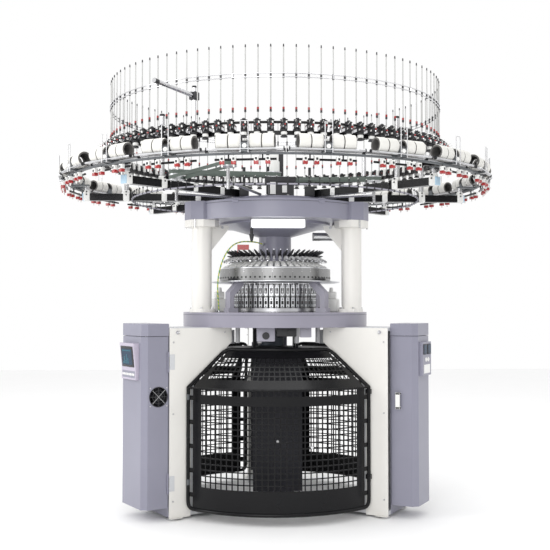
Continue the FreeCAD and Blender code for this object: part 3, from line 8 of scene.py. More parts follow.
import bmesh
import bpy
from mathutils import Matrix, Vector


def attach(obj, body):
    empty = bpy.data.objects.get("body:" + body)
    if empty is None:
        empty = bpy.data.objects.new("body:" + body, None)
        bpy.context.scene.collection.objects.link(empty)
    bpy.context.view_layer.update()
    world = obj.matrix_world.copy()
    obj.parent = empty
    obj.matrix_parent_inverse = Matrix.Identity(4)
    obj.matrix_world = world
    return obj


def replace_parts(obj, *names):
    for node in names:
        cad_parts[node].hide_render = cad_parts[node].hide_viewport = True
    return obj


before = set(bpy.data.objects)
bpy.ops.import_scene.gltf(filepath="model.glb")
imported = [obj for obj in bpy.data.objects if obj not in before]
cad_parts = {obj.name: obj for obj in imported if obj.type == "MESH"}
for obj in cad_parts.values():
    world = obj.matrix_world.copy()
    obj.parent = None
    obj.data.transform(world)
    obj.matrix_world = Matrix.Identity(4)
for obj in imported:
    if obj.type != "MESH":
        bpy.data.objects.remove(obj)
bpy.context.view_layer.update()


def add_object(name, data):
    """Makes an object of the data and puts it in the scene."""
    made = bpy.data.objects.new(name, data)
    bpy.context.scene.collection.objects.link(made)
    return made


# %% [markdown]
# ## The view
# The camera stands six metres in front, at eye height, a little to the left, and looks slightly up.
# A long lens keeps the columns nearly parallel, so a 60 mm lens is used.

# %% Camera
camera_data = bpy.data.cameras.new("front_camera")
camera_data.lens = 60.2
camera_data.sensor_width = 36.0
camera_data.clip_end = 60.0
camera = add_object("front_camera", camera_data)
CAMERA_DISTANCE = 6.0
CAMERA_HEIGHT = 1.26
CAMERA_RISE = 1.87
CAMERA_TURN = math.radians(-2.5)
camera.location = (
    CAMERA_DISTANCE * math.sin(CAMERA_TURN),
    -CAMERA_DISTANCE * math.cos(CAMERA_TURN),
    CAMERA_HEIGHT,
)
camera.rotation_euler = (math.radians(90 + CAMERA_RISE), 0, CAMERA_TURN)
bpy.context.scene.camera = camera
print("camera at", tuple(round(v, 3) for v in camera.location))

# %% [markdown]
# ## Helpers for shapes
# A piece starts as an empty bmesh. Boxes, rods and lathed profiles are added with bmesh operators,
# and a pattern that stands round the machine is copied with one spin, which repeats it about the
# machine's axis. The piece is then given sharp edges by angle, a material and a body to ride on.

# %% Shape helpers
def turn_z(degrees):
    """A turn about the machine's axis."""
    return Matrix.Rotation(math.radians(degrees), 3, "Z")


def on_circle(radius, degrees, height):
    """A point on a circle about the machine's axis."""
    angle = math.radians(degrees)
    return (radius * math.cos(angle), radius * math.sin(angle), height)


def linked_verts(seeds):
    """Every vertex that edges join to the seeds."""
    linked, stack = set(), list(seeds)
    while stack:
        vert = stack.pop()
        if vert not in linked:
            linked.add(vert)
            stack.extend(other for edge in vert.link_edges for other in edge.verts)
    return list(linked)


def turned_matrix(axis, centre):
    """Places a shape made along Z at centre, along axis."""
    return Matrix.Translation(centre) @ Vector(axis).to_track_quat("Z", "Y").to_matrix().to_4x4()


def add_box(bm, low, high, bevel=0.0, segments=1):
    size = [b - a for a, b in zip(low, high)]
    centre = [(a + b) / 2 for a, b in zip(low, high)]
    matrix = Matrix.Translation(centre) @ Matrix.Diagonal((*size, 1))
    made = bmesh.ops.create_cube(bm, size=1.0, matrix=matrix)
    if bevel:
        edges = list({e for v in made["verts"] for e in v.link_edges})
        bmesh.ops.bevel(
            bm, geom=edges, offset=bevel, segments=segments, profile=0.5, affect="EDGES", material=-1
        )


def add_rod(bm, start, end, radius, sides=16, end_radius=None, bevel=0.0):
    start, end = Vector(start), Vector(end)
    matrix = turned_matrix(end - start, (start + end) / 2)
    made = bmesh.ops.create_cone(
        bm,
        cap_ends=True,
        segments=sides,
        radius1=radius,
        radius2=radius if end_radius is None else end_radius,
        depth=(end - start).length,
        matrix=matrix,
    )
    if bevel:
        rims = [e for e in {e for v in made["verts"] for e in v.link_edges} if len(e.link_faces) == 2]
        rims = [e for e in rims if any(len(f.verts) > 4 for f in e.link_faces)]
        bmesh.ops.bevel(bm, geom=rims, offset=bevel, segments=2, profile=0.5, affect="EDGES", material=-1)


def add_lathe(bm, profile, sides=32, matrix=None):
    """Spins a closed (radius, height) outline about Z, then puts it in place with matrix."""
    verts = [bm.verts.new((r, 0, z)) for r, z in profile]
    edges = [bm.edges.new((a, b)) for a, b in zip(verts, verts[1:] + verts[:1])]
    made = bmesh.ops.spin(
        bm, geom=verts + edges, cent=(0, 0, 0), axis=(0, 0, 1), angle=math.tau, steps=sides, use_merge=True
    )
    new = set(verts) | {g for g in made["geom_last"] if isinstance(g, bmesh.types.BMVert)}
    turned = linked_verts(v for v in new if v.is_valid)
    if matrix is not None:
        bmesh.ops.transform(bm, matrix=matrix, verts=turned)
    faces = {face for vert in turned for face in vert.link_faces}
    bmesh.ops.recalc_face_normals(bm, faces=list(faces))


def copy_round(bm, count, first=0.0):
    """Turns the pattern to its first place and repeats it evenly about the machine's axis."""
    bmesh.ops.rotate(bm, cent=(0, 0, 0), matrix=turn_z(first), verts=bm.verts)
    if count > 1:
        bmesh.ops.spin(
            bm,
            geom=bm.verts[:] + bm.edges[:] + bm.faces[:],
            cent=(0, 0, 0),
            axis=(0, 0, 1),
            angle=math.tau * (count - 1) / count,
            steps=count - 1,
            use_duplicate=True,
        )


def copy_at(bm, angles):
    """Repeats the pattern, drawn along +X, at the given angles about the machine's axis."""
    pattern = bm.verts[:] + bm.edges[:] + bm.faces[:]
    for degrees in angles[1:]:
        made = bmesh.ops.duplicate(bm, geom=pattern)
        verts = [g for g in made["geom"] if isinstance(g, bmesh.types.BMVert)]
        bmesh.ops.rotate(bm, cent=(0, 0, 0), matrix=turn_z(degrees), verts=verts)
    first = [g for g in pattern if isinstance(g, bmesh.types.BMVert)]
    bmesh.ops.rotate(bm, cent=(0, 0, 0), matrix=turn_z(angles[0]), verts=first)


def make_piece(name, bm, material, body="machine_frame", sharp=35.0):
    """Makes the bmesh an object with sharp edges by angle, a finish and a body."""
    for face in bm.faces:
        face.smooth = True
    for edge in bm.edges:
        if len(edge.link_faces) == 2 and edge.calc_face_angle(0.0) > math.radians(sharp):
            edge.smooth = False
    mesh = bpy.data.meshes.new(name)
    bm.to_mesh(mesh)
    bm.free()
    piece = add_object(name, mesh)
    mesh.materials.append(material)
    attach(piece, body)
    print(f"{name}: {len(mesh.polygons)} faces")
    return piece


# %% [markdown]
# ## Surface effects shared by many finishes
# Paint, plastic and metal are never one even colour. One shader group gives three maps that change
# over a surface: a soft tone for colour, a fine speck for gloss and a height for the bump. A second
# group gives the circular tool marks of turned metal, measured from the machine's axis.

# %% Shader groups
def new_group(name, inputs, outputs):
    group = bpy.data.node_groups.new(name, "ShaderNodeTree")
    for label, kind, value in inputs:
        socket = group.interface.new_socket(label, in_out="INPUT", socket_type=kind)
        if value is not None:
            socket.default_value = value
    for label, kind in outputs:
        group.interface.new_socket(label, in_out="OUTPUT", socket_type=kind)
    return group, group.nodes.new("NodeGroupInput"), group.nodes.new("NodeGroupOutput")


def set_inputs(node, values):
    """Sets a node's inputs by their labels."""
    for label, value in values.items():
        node.inputs[label].default_value = value


def math_node(tree, operation, first, second):
    node = tree.nodes.new("ShaderNodeMath")
    node.operation = operation
    for socket, value in zip(node.inputs, (first, second)):
        if isinstance(value, (int, float)):
            socket.default_value = value
        else:
            tree.links.new(value, socket)
    return node.outputs[0]


surface, g_in, g_out = new_group(
    "surface_variation",
    [
        ("Vector", "NodeSocketVector", None),
        ("Tone Scale", "NodeSocketFloat", 2.0),
        ("Grain Scale", "NodeSocketFloat", 400.0),
    ],
    [("Tone", "NodeSocketFloat"), ("Grain", "NodeSocketFloat"), ("Height", "NodeSocketFloat")],
)
tone = surface.nodes.new("ShaderNodeTexNoise")
set_inputs(tone, {"Detail": 5.0, "Roughness": 0.6})
grain = surface.nodes.new("ShaderNodeTexNoise")
grain.inputs["Detail"].default_value = 2.0
for texture, label in ((tone, "Tone"), (grain, "Grain")):
    surface.links.new(g_in.outputs["Vector"], texture.inputs["Vector"])
    surface.links.new(g_in.outputs[f"{label} Scale"], texture.inputs["Scale"])
    surface.links.new(texture.outputs["Fac"], g_out.inputs[label])
surface.links.new(
    math_node(surface, "ADD", grain.outputs["Fac"], math_node(surface, "MULTIPLY", tone.outputs["Fac"], 0.3)),
    g_out.inputs["Height"],
)

turned_marks, t_in, t_out = new_group(
    "turned_marks",
    [("Vector", "NodeSocketVector", None), ("Spacing", "NodeSocketFloat", 900.0)],
    [("Line", "NodeSocketFloat")],
)
split = turned_marks.nodes.new("ShaderNodeSeparateXYZ")
turned_marks.links.new(t_in.outputs["Vector"], split.inputs[0])
radius_squared = math_node(
    turned_marks,
    "ADD",
    math_node(turned_marks, "POWER", split.outputs[0], 2.0),
    math_node(turned_marks, "POWER", split.outputs[1], 2.0),
)
radius_now = math_node(turned_marks, "SQRT", radius_squared, 0.0)
turns = math_node(turned_marks, "MULTIPLY", radius_now, t_in.outputs["Spacing"])
wave = math_node(turned_marks, "SINE", turns, 0.0)
turned_marks.links.new(math_node(turned_marks, "MULTIPLY_ADD", wave, 0.5), t_out.inputs["Line"])
print("shader groups:", surface.name, turned_marks.name)


# %% [markdown]
# ## A finish from the groups
# Every finish is one Principled shader. Its fixed numbers are set on the shader's own sockets, and
# only the colour, roughness and normal are driven by the groups, so they vary a little everywhere.

# %% Finish maker
BUMP_DEPTH = 0.0005


def make_finish(
    name,
    color,
    roughness,
    metallic=0.0,
    shade=0.75,
    tone_scale=2.0,
    grain_scale=400.0,
    bump=0.1,
    rough_spread=0.08,
    stretch=(1, 1, 1),
    marks=0.0,
    coat=0.0,
    emission=0.0,
    specular=0.5,
):
    material = bpy.data.materials.new(name)
    material.use_nodes = True
    tree = material.node_tree
    shader = tree.nodes["Principled BSDF"]
    set_inputs(shader, {
        "Metallic": metallic,
        "Specular IOR Level": specular,
        "Coat Weight": coat,
        "Coat Roughness": 0.15,
    })
    place = tree.nodes.new("ShaderNodeTexCoord")
    mapping = tree.nodes.new("ShaderNodeMapping")
    mapping.inputs["Scale"].default_value = stretch
    tree.links.new(place.outputs["Object"], mapping.inputs["Vector"])
    maps = tree.nodes.new("ShaderNodeGroup")
    maps.node_tree = surface
    set_inputs(maps, {"Tone Scale": tone_scale, "Grain Scale": grain_scale})
    tree.links.new(mapping.outputs[0], maps.inputs["Vector"])
    ramp = tree.nodes.new("ShaderNodeMapRange")
    set_inputs(ramp, {"From Min": 0.3, "From Max": 0.7})
    tree.links.new(maps.outputs["Tone"], ramp.inputs["Value"])
    mix = tree.nodes.new("ShaderNodeMix")
    mix.data_type = "RGBA"
    set_inputs(mix, {"A": (*[c * shade for c in color], 1), "B": (*color, 1)})
    tree.links.new(ramp.outputs[0], mix.inputs["Factor"])
    tree.links.new(mix.outputs["Result"], shader.inputs["Base Color"])
    rough = tree.nodes.new("ShaderNodeMapRange")
    set_inputs(rough, {
        "To Min": max(roughness - rough_spread, 0.03),
        "To Max": min(roughness + rough_spread, 1.0),
    })
    tree.links.new(maps.outputs["Grain"], rough.inputs["Value"])
    tree.links.new(rough.outputs[0], shader.inputs["Roughness"])
    height = maps.outputs["Height"]
    if marks:
        lines = tree.nodes.new("ShaderNodeGroup")
        lines.node_tree = turned_marks
        lines.inputs["Spacing"].default_value = marks
        tree.links.new(place.outputs["Object"], lines.inputs["Vector"])
        height = math_node(tree, "ADD", height, lines.outputs["Line"])
    bumps = tree.nodes.new("ShaderNodeBump")
    set_inputs(bumps, {"Strength": bump, "Distance": BUMP_DEPTH})
    tree.links.new(height, bumps.inputs["Height"])
    tree.links.new(bumps.outputs[0], shader.inputs["Normal"])
    if emission:
        shader.inputs["Emission Strength"].default_value = emission
        tree.links.new(mix.outputs["Result"], shader.inputs["Emission Color"])
    return material


# %% [markdown]
# ## The machine's finishes
# Large castings and sheets are sprayed with cream, dark lilac-grey and plain grey enamel. The guards and
# the creel's frame are black, and the knitting head is bare steel and aluminium.

# %% Finishes
cream_enamel = make_finish("cream_enamel", (0.75, 0.735, 0.70), 0.38, shade=0.93, bump=0.08, coat=0.2)
blue_enamel = make_finish(
    "blue_grey_enamel", (0.245, 0.243, 0.305), 0.32, shade=0.90, bump=0.08, coat=0.1, specular=0.4
)
grey_enamel = make_finish("grey_enamel", (0.30, 0.30, 0.31), 0.42, shade=0.88, bump=0.1)
bed_enamel = make_finish("lilac_bed_enamel", (0.255, 0.245, 0.30), 0.32, shade=0.9, bump=0.08, coat=0.1)
light_grey = make_finish("light_grey_enamel", (0.58, 0.59, 0.61), 0.42, shade=0.9, bump=0.1)
tube_grey = make_finish("tube_grey", (0.50, 0.50, 0.49), 0.4, shade=0.85, bump=0.05)
lilac_grey = make_finish(
    "lilac_grey_casting", (0.36, 0.35, 0.41), 0.4, shade=0.88, bump=0.15, grain_scale=250
)
black_enamel = make_finish(
    "black_enamel", (0.006, 0.006, 0.007), 0.22, shade=0.7, bump=0.06, grain_scale=700, specular=0.2
)
black_plastic = make_finish(
    "black_plastic", (0.022, 0.022, 0.025), 0.5, shade=0.75, bump=0.2, grain_scale=900
)
grey_plastic = make_finish(
    "dark_grey_plastic", (0.12, 0.13, 0.14), 0.45, shade=0.8, bump=0.2, grain_scale=900
)
white_plastic = make_finish("white_plastic", (0.80, 0.80, 0.78), 0.32, shade=0.92, bump=0.08, grain_scale=900)
red_plastic = make_finish("red_plastic", (0.36, 0.012, 0.012), 0.28, shade=0.75, bump=0.05, coat=0.4)
sky_plastic = make_finish("light_blue_plastic", (0.42, 0.60, 0.74), 0.4, shade=0.9)
steel = make_finish("ground_steel", (0.55, 0.55, 0.56), 0.28, 1.0, shade=0.85, bump=0.12, stretch=(1, 1, 14))
turned_steel = make_finish("turned_steel", (0.62, 0.62, 0.64), 0.3, 1.0, shade=0.88, bump=0.15, marks=2600)
gear_steel = make_finish(
    "oiled_gear_steel", (0.30, 0.29, 0.28), 0.35, 1.0, shade=0.7, bump=0.15, tone_scale=12
)
aluminium = make_finish(
    "anodised_aluminium", (0.74, 0.75, 0.77), 0.34, 1.0, shade=0.9, bump=0.1, grain_scale=1200
)
chrome = make_finish("bright_chrome", (0.75, 0.75, 0.77), 0.1, 1.0, shade=0.92, bump=0.03, rough_spread=0.04)
dark_frame = make_finish("dark_frame_paint", (0.022, 0.022, 0.028), 0.45, shade=0.7, bump=0.2, specular=0.25)
cast_iron = make_finish("painted_cast_iron", (0.07, 0.07, 0.08), 0.55, shade=0.8, bump=0.45, grain_scale=180)
rubber = make_finish("black_rubber", (0.018, 0.018, 0.018), 0.75, shade=0.7, bump=0.3, grain_scale=600)
belt_green = make_finish("belt_green", (0.12, 0.15, 0.13), 0.6, shade=0.8, bump=0.2, grain_scale=500)
motor_grey = make_finish("motor_grey", (0.10, 0.12, 0.15), 0.45, shade=0.8, bump=0.2)
lamp_white = make_finish("lit_lamp_cover", (0.95, 0.96, 1.0), 0.3, shade=0.97, emission=0.9)
screen_glass = make_finish(
    "screen_glass", (0.012, 0.04, 0.085), 0.25, shade=0.6, bump=0.01, tone_scale=9, specular=0.2
)
dark_card = make_finish("dark_card", (0.13, 0.125, 0.12), 0.8, shade=0.8, bump=0.25, grain_scale=300)
# Near black for dark screw heads, and for thin dark sheets that are painted shade in the cam box windows,
# between the cam rows and along seams.
dark_screws_and_painted_shade = make_finish("screw_black_and_painted_shade", (0.008, 0.008, 0.009), 0.7, shade=0.6)
yellow_plastic = make_finish("yellow_plastic", (0.75, 0.55, 0.05), 0.4, shade=0.88)
screen_cyan = make_finish("screen_cyan", (0.02, 0.12, 0.17), 0.3, specular=0.2)
panel_lilac = make_finish("panel_lilac", (0.47, 0.43, 0.52), 0.42, shade=0.9, bump=0.1)
segment_grey = make_finish("segment_grey", (0.30, 0.30, 0.30), 0.32, 0.8, shade=0.82, bump=0.12)


def add_height_step(material, height, low_color):
    """Gives the part of a finish below a height another colour."""
    tree = material.node_tree
    place = tree.nodes["Texture Coordinate"]
    parts = tree.nodes.new("ShaderNodeSeparateXYZ")
    tree.links.new(place.outputs["Object"], parts.inputs[0])
    below = math_node(tree, "LESS_THAN", parts.outputs[2], height)
    mix = tree.nodes.new("ShaderNodeMix")
    mix.data_type = "RGBA"
    mix.inputs["B"].default_value = (*low_color, 1)
    tree.links.new(tree.nodes["Mix"].outputs["Result"], mix.inputs["A"])
    tree.links.new(below, mix.inputs["Factor"])
    tree.links.new(mix.outputs["Result"], tree.nodes["Principled BSDF"].inputs["Base Color"])


guide_finish = make_finish("guide_black_and_silver", (0.02, 0.02, 0.022), 0.35, shade=0.8, bump=0.1)
add_height_step(guide_finish, 1.566, (0.62, 0.62, 0.62))
print("finishes:", len(bpy.data.materials))

# %% [markdown]
# ## Finishes on the exact parts
# Parts whose shape is right as it stands keep their mesh and only get their finish.

# %% Assign the finishes
FINISH_OF = {
    "base_spider": cast_iron,
    "bed_ring_and_cover": bed_enamel,
    "cabinet_backs_and_lids": blue_enamel,
    "cabinet_cover_left": blue_enamel,
    "cabinet_cover_rear": blue_enamel,
    "cabinet_cover_right": blue_enamel,
    "cam_boxes": aluminium,
    "cam_carrier": turned_steel,
    "cam_segments": segment_grey,
    "columns": cream_enamel,
    "control_panel": panel_lilac,
    "creel_arms": black_enamel,
    "creel_posts": steel,
    "cylinder_gear": gear_steel,
    "dial_and_shaft": turned_steel,
    "dial_cap": aluminium,
    "dial_gear": gear_steel,
    "dial_hub": blue_enamel,
    "disc_brackets": lilac_grey,
    "drive_and_junction_boxes": black_plastic,
    "drive_motor": motor_grey,
    "drive_shaft": gear_steel,
    "dust_disc": aluminium,
    "earth_lead": yellow_plastic,
    "earth_lead_terminals": turned_steel,
    "elastane_bobbins": white_plastic,
    "elastane_rail_and_housings": grey_plastic,
    "elastane_rollers": steel,
    "fan_frame_and_guard": black_plastic,
    "fan_rotor": black_plastic,
    "feeder_belt": rubber,
    "feeder_bodies": black_plastic,
    "feeder_rail": black_enamel,
    "feeder_wheels": black_plastic,
    "gate_front": black_enamel,
    "gate_left": black_enamel,
    "gate_right": black_enamel,
    "gate_lugs": black_enamel,
    "guard_wires": steel,
    "guide_ring": lilac_grey,
    "instrument_panel": blue_enamel,
    "lamp_bar_and_work_lamp": lamp_white,
    "leg_panels": cream_enamel,
    "legs": light_grey,
    "levelling_feet": steel,
    "needle_cylinder": turned_steel,
    "outrigger": chrome,
    "pull_handle": white_plastic,
    "sensor_bars": black_enamel,
    "start_button": white_plastic,
    "stop_button": white_plastic,
    "takedown_frame": dark_frame,
    "takedown_roller_left": rubber,
    "takedown_roller_right": rubber,
    "top_frame_and_cover": blue_enamel,
    "tube_hoops": chrome,
    "winding_bar": steel,
    "yarn_guides": guide_finish,
    "yarn_sensors": red_plastic,
    "yarn_tubes": white_plastic,
}
for node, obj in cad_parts.items():
    for slot in obj.material_slots:
        slot.material = FINISH_OF[node]
print("nodes with a finish:", len(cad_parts))

# %% [markdown]
# ## The earth lead
# One green and yellow lead runs from the dial's hub over the guides and down to the bed. It is a
# smooth curve through the air, stiff enough to hold its bow, so it is one spline with a round bevel
# and a twisted pair of colours along its length.

# %% Earth lead
LEAD_ROUTE = [
    (-0.084, -0.077, 1.652),
    (-0.118, -0.108, 1.662),
    (-0.166, -0.140, 1.664),
    (-0.222, -0.174, 1.662),
    (-0.274, -0.204, 1.640),
    (-0.314, -0.226, 1.592),
    (-0.344, -0.240, 1.528),
    (-0.364, -0.250, 1.450),
    (-0.370, -0.256, 1.370),
    (-0.366, -0.262, 1.300),
    (-0.362, -0.264, 1.255),
    (-0.361, -0.2645, 1.227),
]
lead_curve = bpy.data.curves.new("earth_cable", "CURVE")
lead_curve.dimensions = "3D"
lead_curve.bevel_depth = 0.004
lead_curve.bevel_resolution = 4
lead_curve.resolution_u = 10
lead_curve.use_fill_caps = True
spline = lead_curve.splines.new("NURBS")
spline.points.add(len(LEAD_ROUTE) - 1)
for point, place_now in zip(spline.points, LEAD_ROUTE):
    point.co = (*place_now, 1)
spline.order_u = 3
spline.use_endpoint_u = True
lead = add_object("earth_cable", lead_curve)


def make_lead_finish():
    """Green bands that wind round a yellow jacket, from the curve's own UV map."""
    material = bpy.data.materials.new("green_yellow_jacket")
    material.use_nodes = True
    tree = material.node_tree
    shader = tree.nodes["Principled BSDF"]
    shader.inputs["Roughness"].default_value = 0.4
    uv = tree.nodes.new("ShaderNodeTexCoord")
    parts = tree.nodes.new("ShaderNodeSeparateXYZ")
    tree.links.new(uv.outputs["UV"], parts.inputs[0])
    wound = math_node(
        tree, "ADD", math_node(tree, "MULTIPLY", parts.outputs[0], 22.0), parts.outputs[1]
    )
    band = math_node(tree, "GREATER_THAN", math_node(tree, "FRACT", wound, 0.0), 0.55)
    mix = tree.nodes.new("ShaderNodeMix")
    mix.data_type = "RGBA"
    set_inputs(mix, {"A": (0.62, 0.60, 0.08, 1), "B": (0.10, 0.34, 0.12, 1)})
    tree.links.new(band, mix.inputs["Factor"])
    tree.links.new(mix.outputs["Result"], shader.inputs["Base Color"])
    return material


lead_curve.materials.append(make_lead_finish())
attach(lead, "machine_frame")
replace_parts(lead, "earth_lead")
print("earth lead points:", len(LEAD_ROUTE))

# %% [markdown]
# ## Places of the pieces
# Each leg's pieces are drawn along +X and turned to the leg, as a fitter would work on one leg at a
# time. The cabinets open on hinges, so their trim rides on the covers.

# %% Legs, rings and slots
LEG_ANGLES = {"left": 210, "right": 330, "rear": 90}
ARM_ANGLES = [0, 45, 135, 180, 225, 315]
FEEDERS = 96
STATIONS = 20
STATION_TURN = 9
HALF_FEEDER = 180 / FEEDERS
CAMS = 48
SEGMENTS = 36
TUBE_CIRCLE = 1.060
BOBBIN_CIRCLE = 1.330
POST_CIRCLES = (0.965, 1.220)


def turn_all(bm, degrees):
    bmesh.ops.rotate(bm, cent=(0, 0, 0), matrix=turn_z(degrees), verts=bm.verts)


def ring_piece(name, bm, material, count, first=0.0, sharp=35.0):
    """A piece of patterns that stand evenly round the machine."""
    copy_round(bm, count, first)
    return make_piece(name, bm, material, sharp=sharp)


def leg_piece(name, bm, material):
    """A piece that is the same on all three legs."""
    copy_at(bm, list(LEG_ANGLES.values()))
    return make_piece(name, bm, material)


def cover_piece(name, bm, material, side):
    """A piece on the hinged cover of one leg's cabinet."""
    turn_all(bm, LEG_ANGLES[side])
    return make_piece(name, bm, material, f"{side}_cover")


print("legs at", LEG_ANGLES)

# %% [markdown]
# ## Yarn feeders
# A feeder takes one yarn, winds it on a small wheel and hands it on at an even rate. A belt drives
# the pulley on top, and a red lamp lights when the yarn breaks. One feeder is drawn with a bevelled
# body, a grooved pulley and a waisted storage wheel, and spun into a ring of ninety-six.

# %% Feeder bodies
bm = bmesh.new()
add_box(bm, (1.049, -0.019, 2.2005), (1.112, 0.019, 2.2335), 0.003, 2)
add_box(bm, (1.112, -0.014, 2.203), (1.139, 0.014, 2.231), 0.004, 2)
add_box(bm, (1.046, -0.011, 2.178), (1.0475, 0.011, 2.212))
add_rod(bm, (1.088, 0, 2.2335), (1.088, 0, 2.2345), 0.016, 12)
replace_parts(ring_piece("feeder_housings", bm, black_plastic, FEEDERS), "feeder_bodies")

# %% Feeder wheels
wheel_place = Matrix.Translation((1.104, 0, 0))
bm = bmesh.new()
add_lathe(
    bm,
    [(0.004, 2.2345), (0.021, 2.2345), (0.021, 2.237), (0.0182, 2.2385), (0.0182, 2.2495), (0.021, 2.251)]
    + [(0.021, 2.2535), (0.011, 2.254), (0.009, 2.262), (0.004, 2.262)],
    20,
    wheel_place,
)
add_lathe(
    bm,
    [(0.004, 2.1995), (0.019, 2.1995), (0.019, 2.196), (0.0145, 2.190), (0.0135, 2.168), (0.019, 2.162)]
    + [(0.019, 2.1585), (0.004, 2.1585)],
    20,
    wheel_place,
)
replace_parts(ring_piece("feeder_wheel_pairs", bm, black_plastic, FEEDERS), "feeder_wheels")

bm = bmesh.new()
add_lathe(bm, [(0.0137, 2.189), (0.0168, 2.186), (0.0172, 2.176), (0.0137, 2.171)], 16, wheel_place)
ring_piece("stored_yarn", bm, white_plastic, FEEDERS)

bm = bmesh.new()
add_rod(bm, (1.138, 0.005, 2.222), (1.1465, 0.005, 2.222), 0.0052, 10, 0.003)
add_box(bm, (1.062, -0.0197, 2.226), (1.072, 0.0197, 2.2312))
ring_piece("feeder_lamps", bm, red_plastic, FEEDERS)

bm = bmesh.new()
add_box(bm, (1.060, -0.0198, 2.206), (1.100, 0.0198, 2.221))
add_rod(bm, (1.139, -0.007, 2.214), (1.156, -0.007, 2.208), 0.0015, 6)
add_rod(bm, (1.139, 0.009, 2.211), (1.150, 0.009, 2.196), 0.0015, 6)
add_rod(bm, (1.156, -0.007, 2.205), (1.156, -0.007, 2.211), 0.004, 8)
add_rod(bm, (1.104, 0, 2.262), (1.104, 0, 2.266), 0.004, 8)
ring_piece("feeder_trim", bm, chrome, FEEDERS)

bm = bmesh.new()
add_box(bm, (1.034, -0.009, 2.2005), (1.048, 0.009, 2.246), 0.002)
add_box(bm, (1.113, -0.0145, 2.2105), (1.128, 0.0145, 2.2195))
add_rod(bm, (1.148, -0.013, 2.247), (1.112, -0.010, 2.236), 0.0016, 6)
add_rod(bm, (1.126, 0.012, 2.2305), (1.126, 0.012, 2.243), 0.0055, 10, 0.004)
ring_piece("feeder_light_trim", bm, white_plastic, FEEDERS)

# %% [markdown]
# ## Yarn tubes
# Every feeder's yarn arrives through a thin grey tube that stands in two wire hoops. A red and a
# black ferrule mark its middle, and a black tip keeps the yarn from being cut by the tube's edge.

# %% Tubes, ferrules, tips and clips
bm = bmesh.new()
add_rod(bm, (TUBE_CIRCLE, 0, 2.2335), (TUBE_CIRCLE, 0, 2.662), 0.0034, 8)
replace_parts(ring_piece("thin_yarn_tubes", bm, tube_grey, FEEDERS), "yarn_tubes")

bm = bmesh.new()
add_rod(bm, (TUBE_CIRCLE, 0, 2.660), (TUBE_CIRCLE, 0, 2.675), 0.0042, 8, 0.003)
add_rod(bm, (TUBE_CIRCLE, 0, 2.305), (TUBE_CIRCLE, 0, 2.318), 0.0062, 8)
add_box(bm, (1.0555, -0.005, 2.489), (1.0632, 0.005, 2.521), 0.001)
ring_piece("tube_tips_and_clips", bm, black_plastic, FEEDERS)

bm = bmesh.new()
add_rod(bm, (TUBE_CIRCLE, 0, 2.3185), (TUBE_CIRCLE, 0, 2.331), 0.0062, 8)
ring_piece("tube_ferrules", bm, red_plastic, FEEDERS)

# %% [markdown]
# ## Elastane bobbins
# Bare elastane is wound on short dark cores and driven by the rollers underneath. The yarn lies in
# fine parallel turns, so each bobbin carries an attribute that counts along its own axis, and the
# finish turns that number into tiny ridges.

# %% Bobbin finish
def make_wound_finish(name, color, turns, strength):
    material = make_finish(name, color, 0.6, shade=0.93, bump=0.1, grain_scale=300)
    tree = material.node_tree
    along = tree.nodes.new("ShaderNodeAttribute")
    along.attribute_name = "along"
    ridges = math_node(tree, "SINE", math_node(tree, "MULTIPLY", along.outputs["Fac"], turns), 0.0)
    ridge_bump = tree.nodes.new("ShaderNodeBump")
    set_inputs(ridge_bump, {"Strength": strength, "Distance": 0.0008})
    tree.links.new(ridges, ridge_bump.inputs["Height"])
    first = tree.nodes["Bump"]
    tree.links.new(first.outputs[0], ridge_bump.inputs["Normal"])
    tree.links.new(ridge_bump.outputs[0], tree.nodes["Principled BSDF"].inputs["Normal"])
    return material


wound_yarn = make_wound_finish("wound_elastane", (0.82, 0.81, 0.77), 3500.0, 0.5)

# %% Bobbins
BOBBIN_HEIGHT = 2.0945
ALONG_Y = Matrix.Rotation(math.radians(-90), 4, "X")
STARTS = (0.024, 0.090, -0.084, -0.150)
bm = bmesh.new()
for start in STARTS:
    add_lathe(
        bm,
        [(0.0335, 0), (0.0395, 0), (0.0417, 0.003), (0.042, 0.012), (0.042, 0.048)]
        + [(0.0417, 0.057), (0.0395, 0.060), (0.0335, 0.060)],
        28,
        Matrix.Translation((BOBBIN_CIRCLE, start, BOBBIN_HEIGHT)) @ ALONG_Y,
    )
count_along = bm.verts.layers.float.new("along")
for vert in bm.verts:
    vert[count_along] = vert.co.y
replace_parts(ring_piece("wound_bobbins", bm, wound_yarn, STATIONS, STATION_TURN), "elastane_bobbins")

bm = bmesh.new()
for start in STARTS:
    add_lathe(
        bm,
        [(0.0305, -0.0018), (0.0392, -0.0018), (0.0392, 0.0002), (0.0334, 0.0002), (0.0334, 0.0598)]
        + [(0.0392, 0.0598), (0.0392, 0.0618), (0.0305, 0.0618)],
        24,
        Matrix.Translation((BOBBIN_CIRCLE, start, BOBBIN_HEIGHT)) @ ALONG_Y,
    )
ring_piece("bobbin_cores", bm, dark_card, STATIONS, STATION_TURN, sharp=50.0)

# %% [markdown]
# ## Elastane stations
# Between each station's bobbins stands a small gearbox with a white knob. Thin wires over the
# bobbins catch a spool that jumps. Feelers with a red foot and a pale head, on the bar below, stop
# the machine when a yarn runs out.

# %% Knobs, hoops, covers and feelers
FEELER_PLACES = (0.058, 0.118, -0.058, -0.118)
bm = bmesh.new()
add_rod(bm, (1.369, 0, 2.068), (1.3785, 0, 2.068), 0.013, 20, 0.011, 0.001)
add_rod(bm, (1.330, 0, 2.092), (1.330, 0, 2.112), 0.011, 16, 0.009, 0.002)
ring_piece("station_knobs", bm, white_plastic, STATIONS, STATION_TURN)

bm = bmesh.new()
add_rod(bm, (1.3765, -0.158, 2.052), (1.3765, 0.158, 2.052), 0.003, 8)
for side in (-1, 1):
    add_rod(bm, (1.358, side * 0.150, 2.052), (1.378, side * 0.150, 2.052), 0.0025, 6)
ring_piece("station_front_rods", bm, aluminium, STATIONS, STATION_TURN)

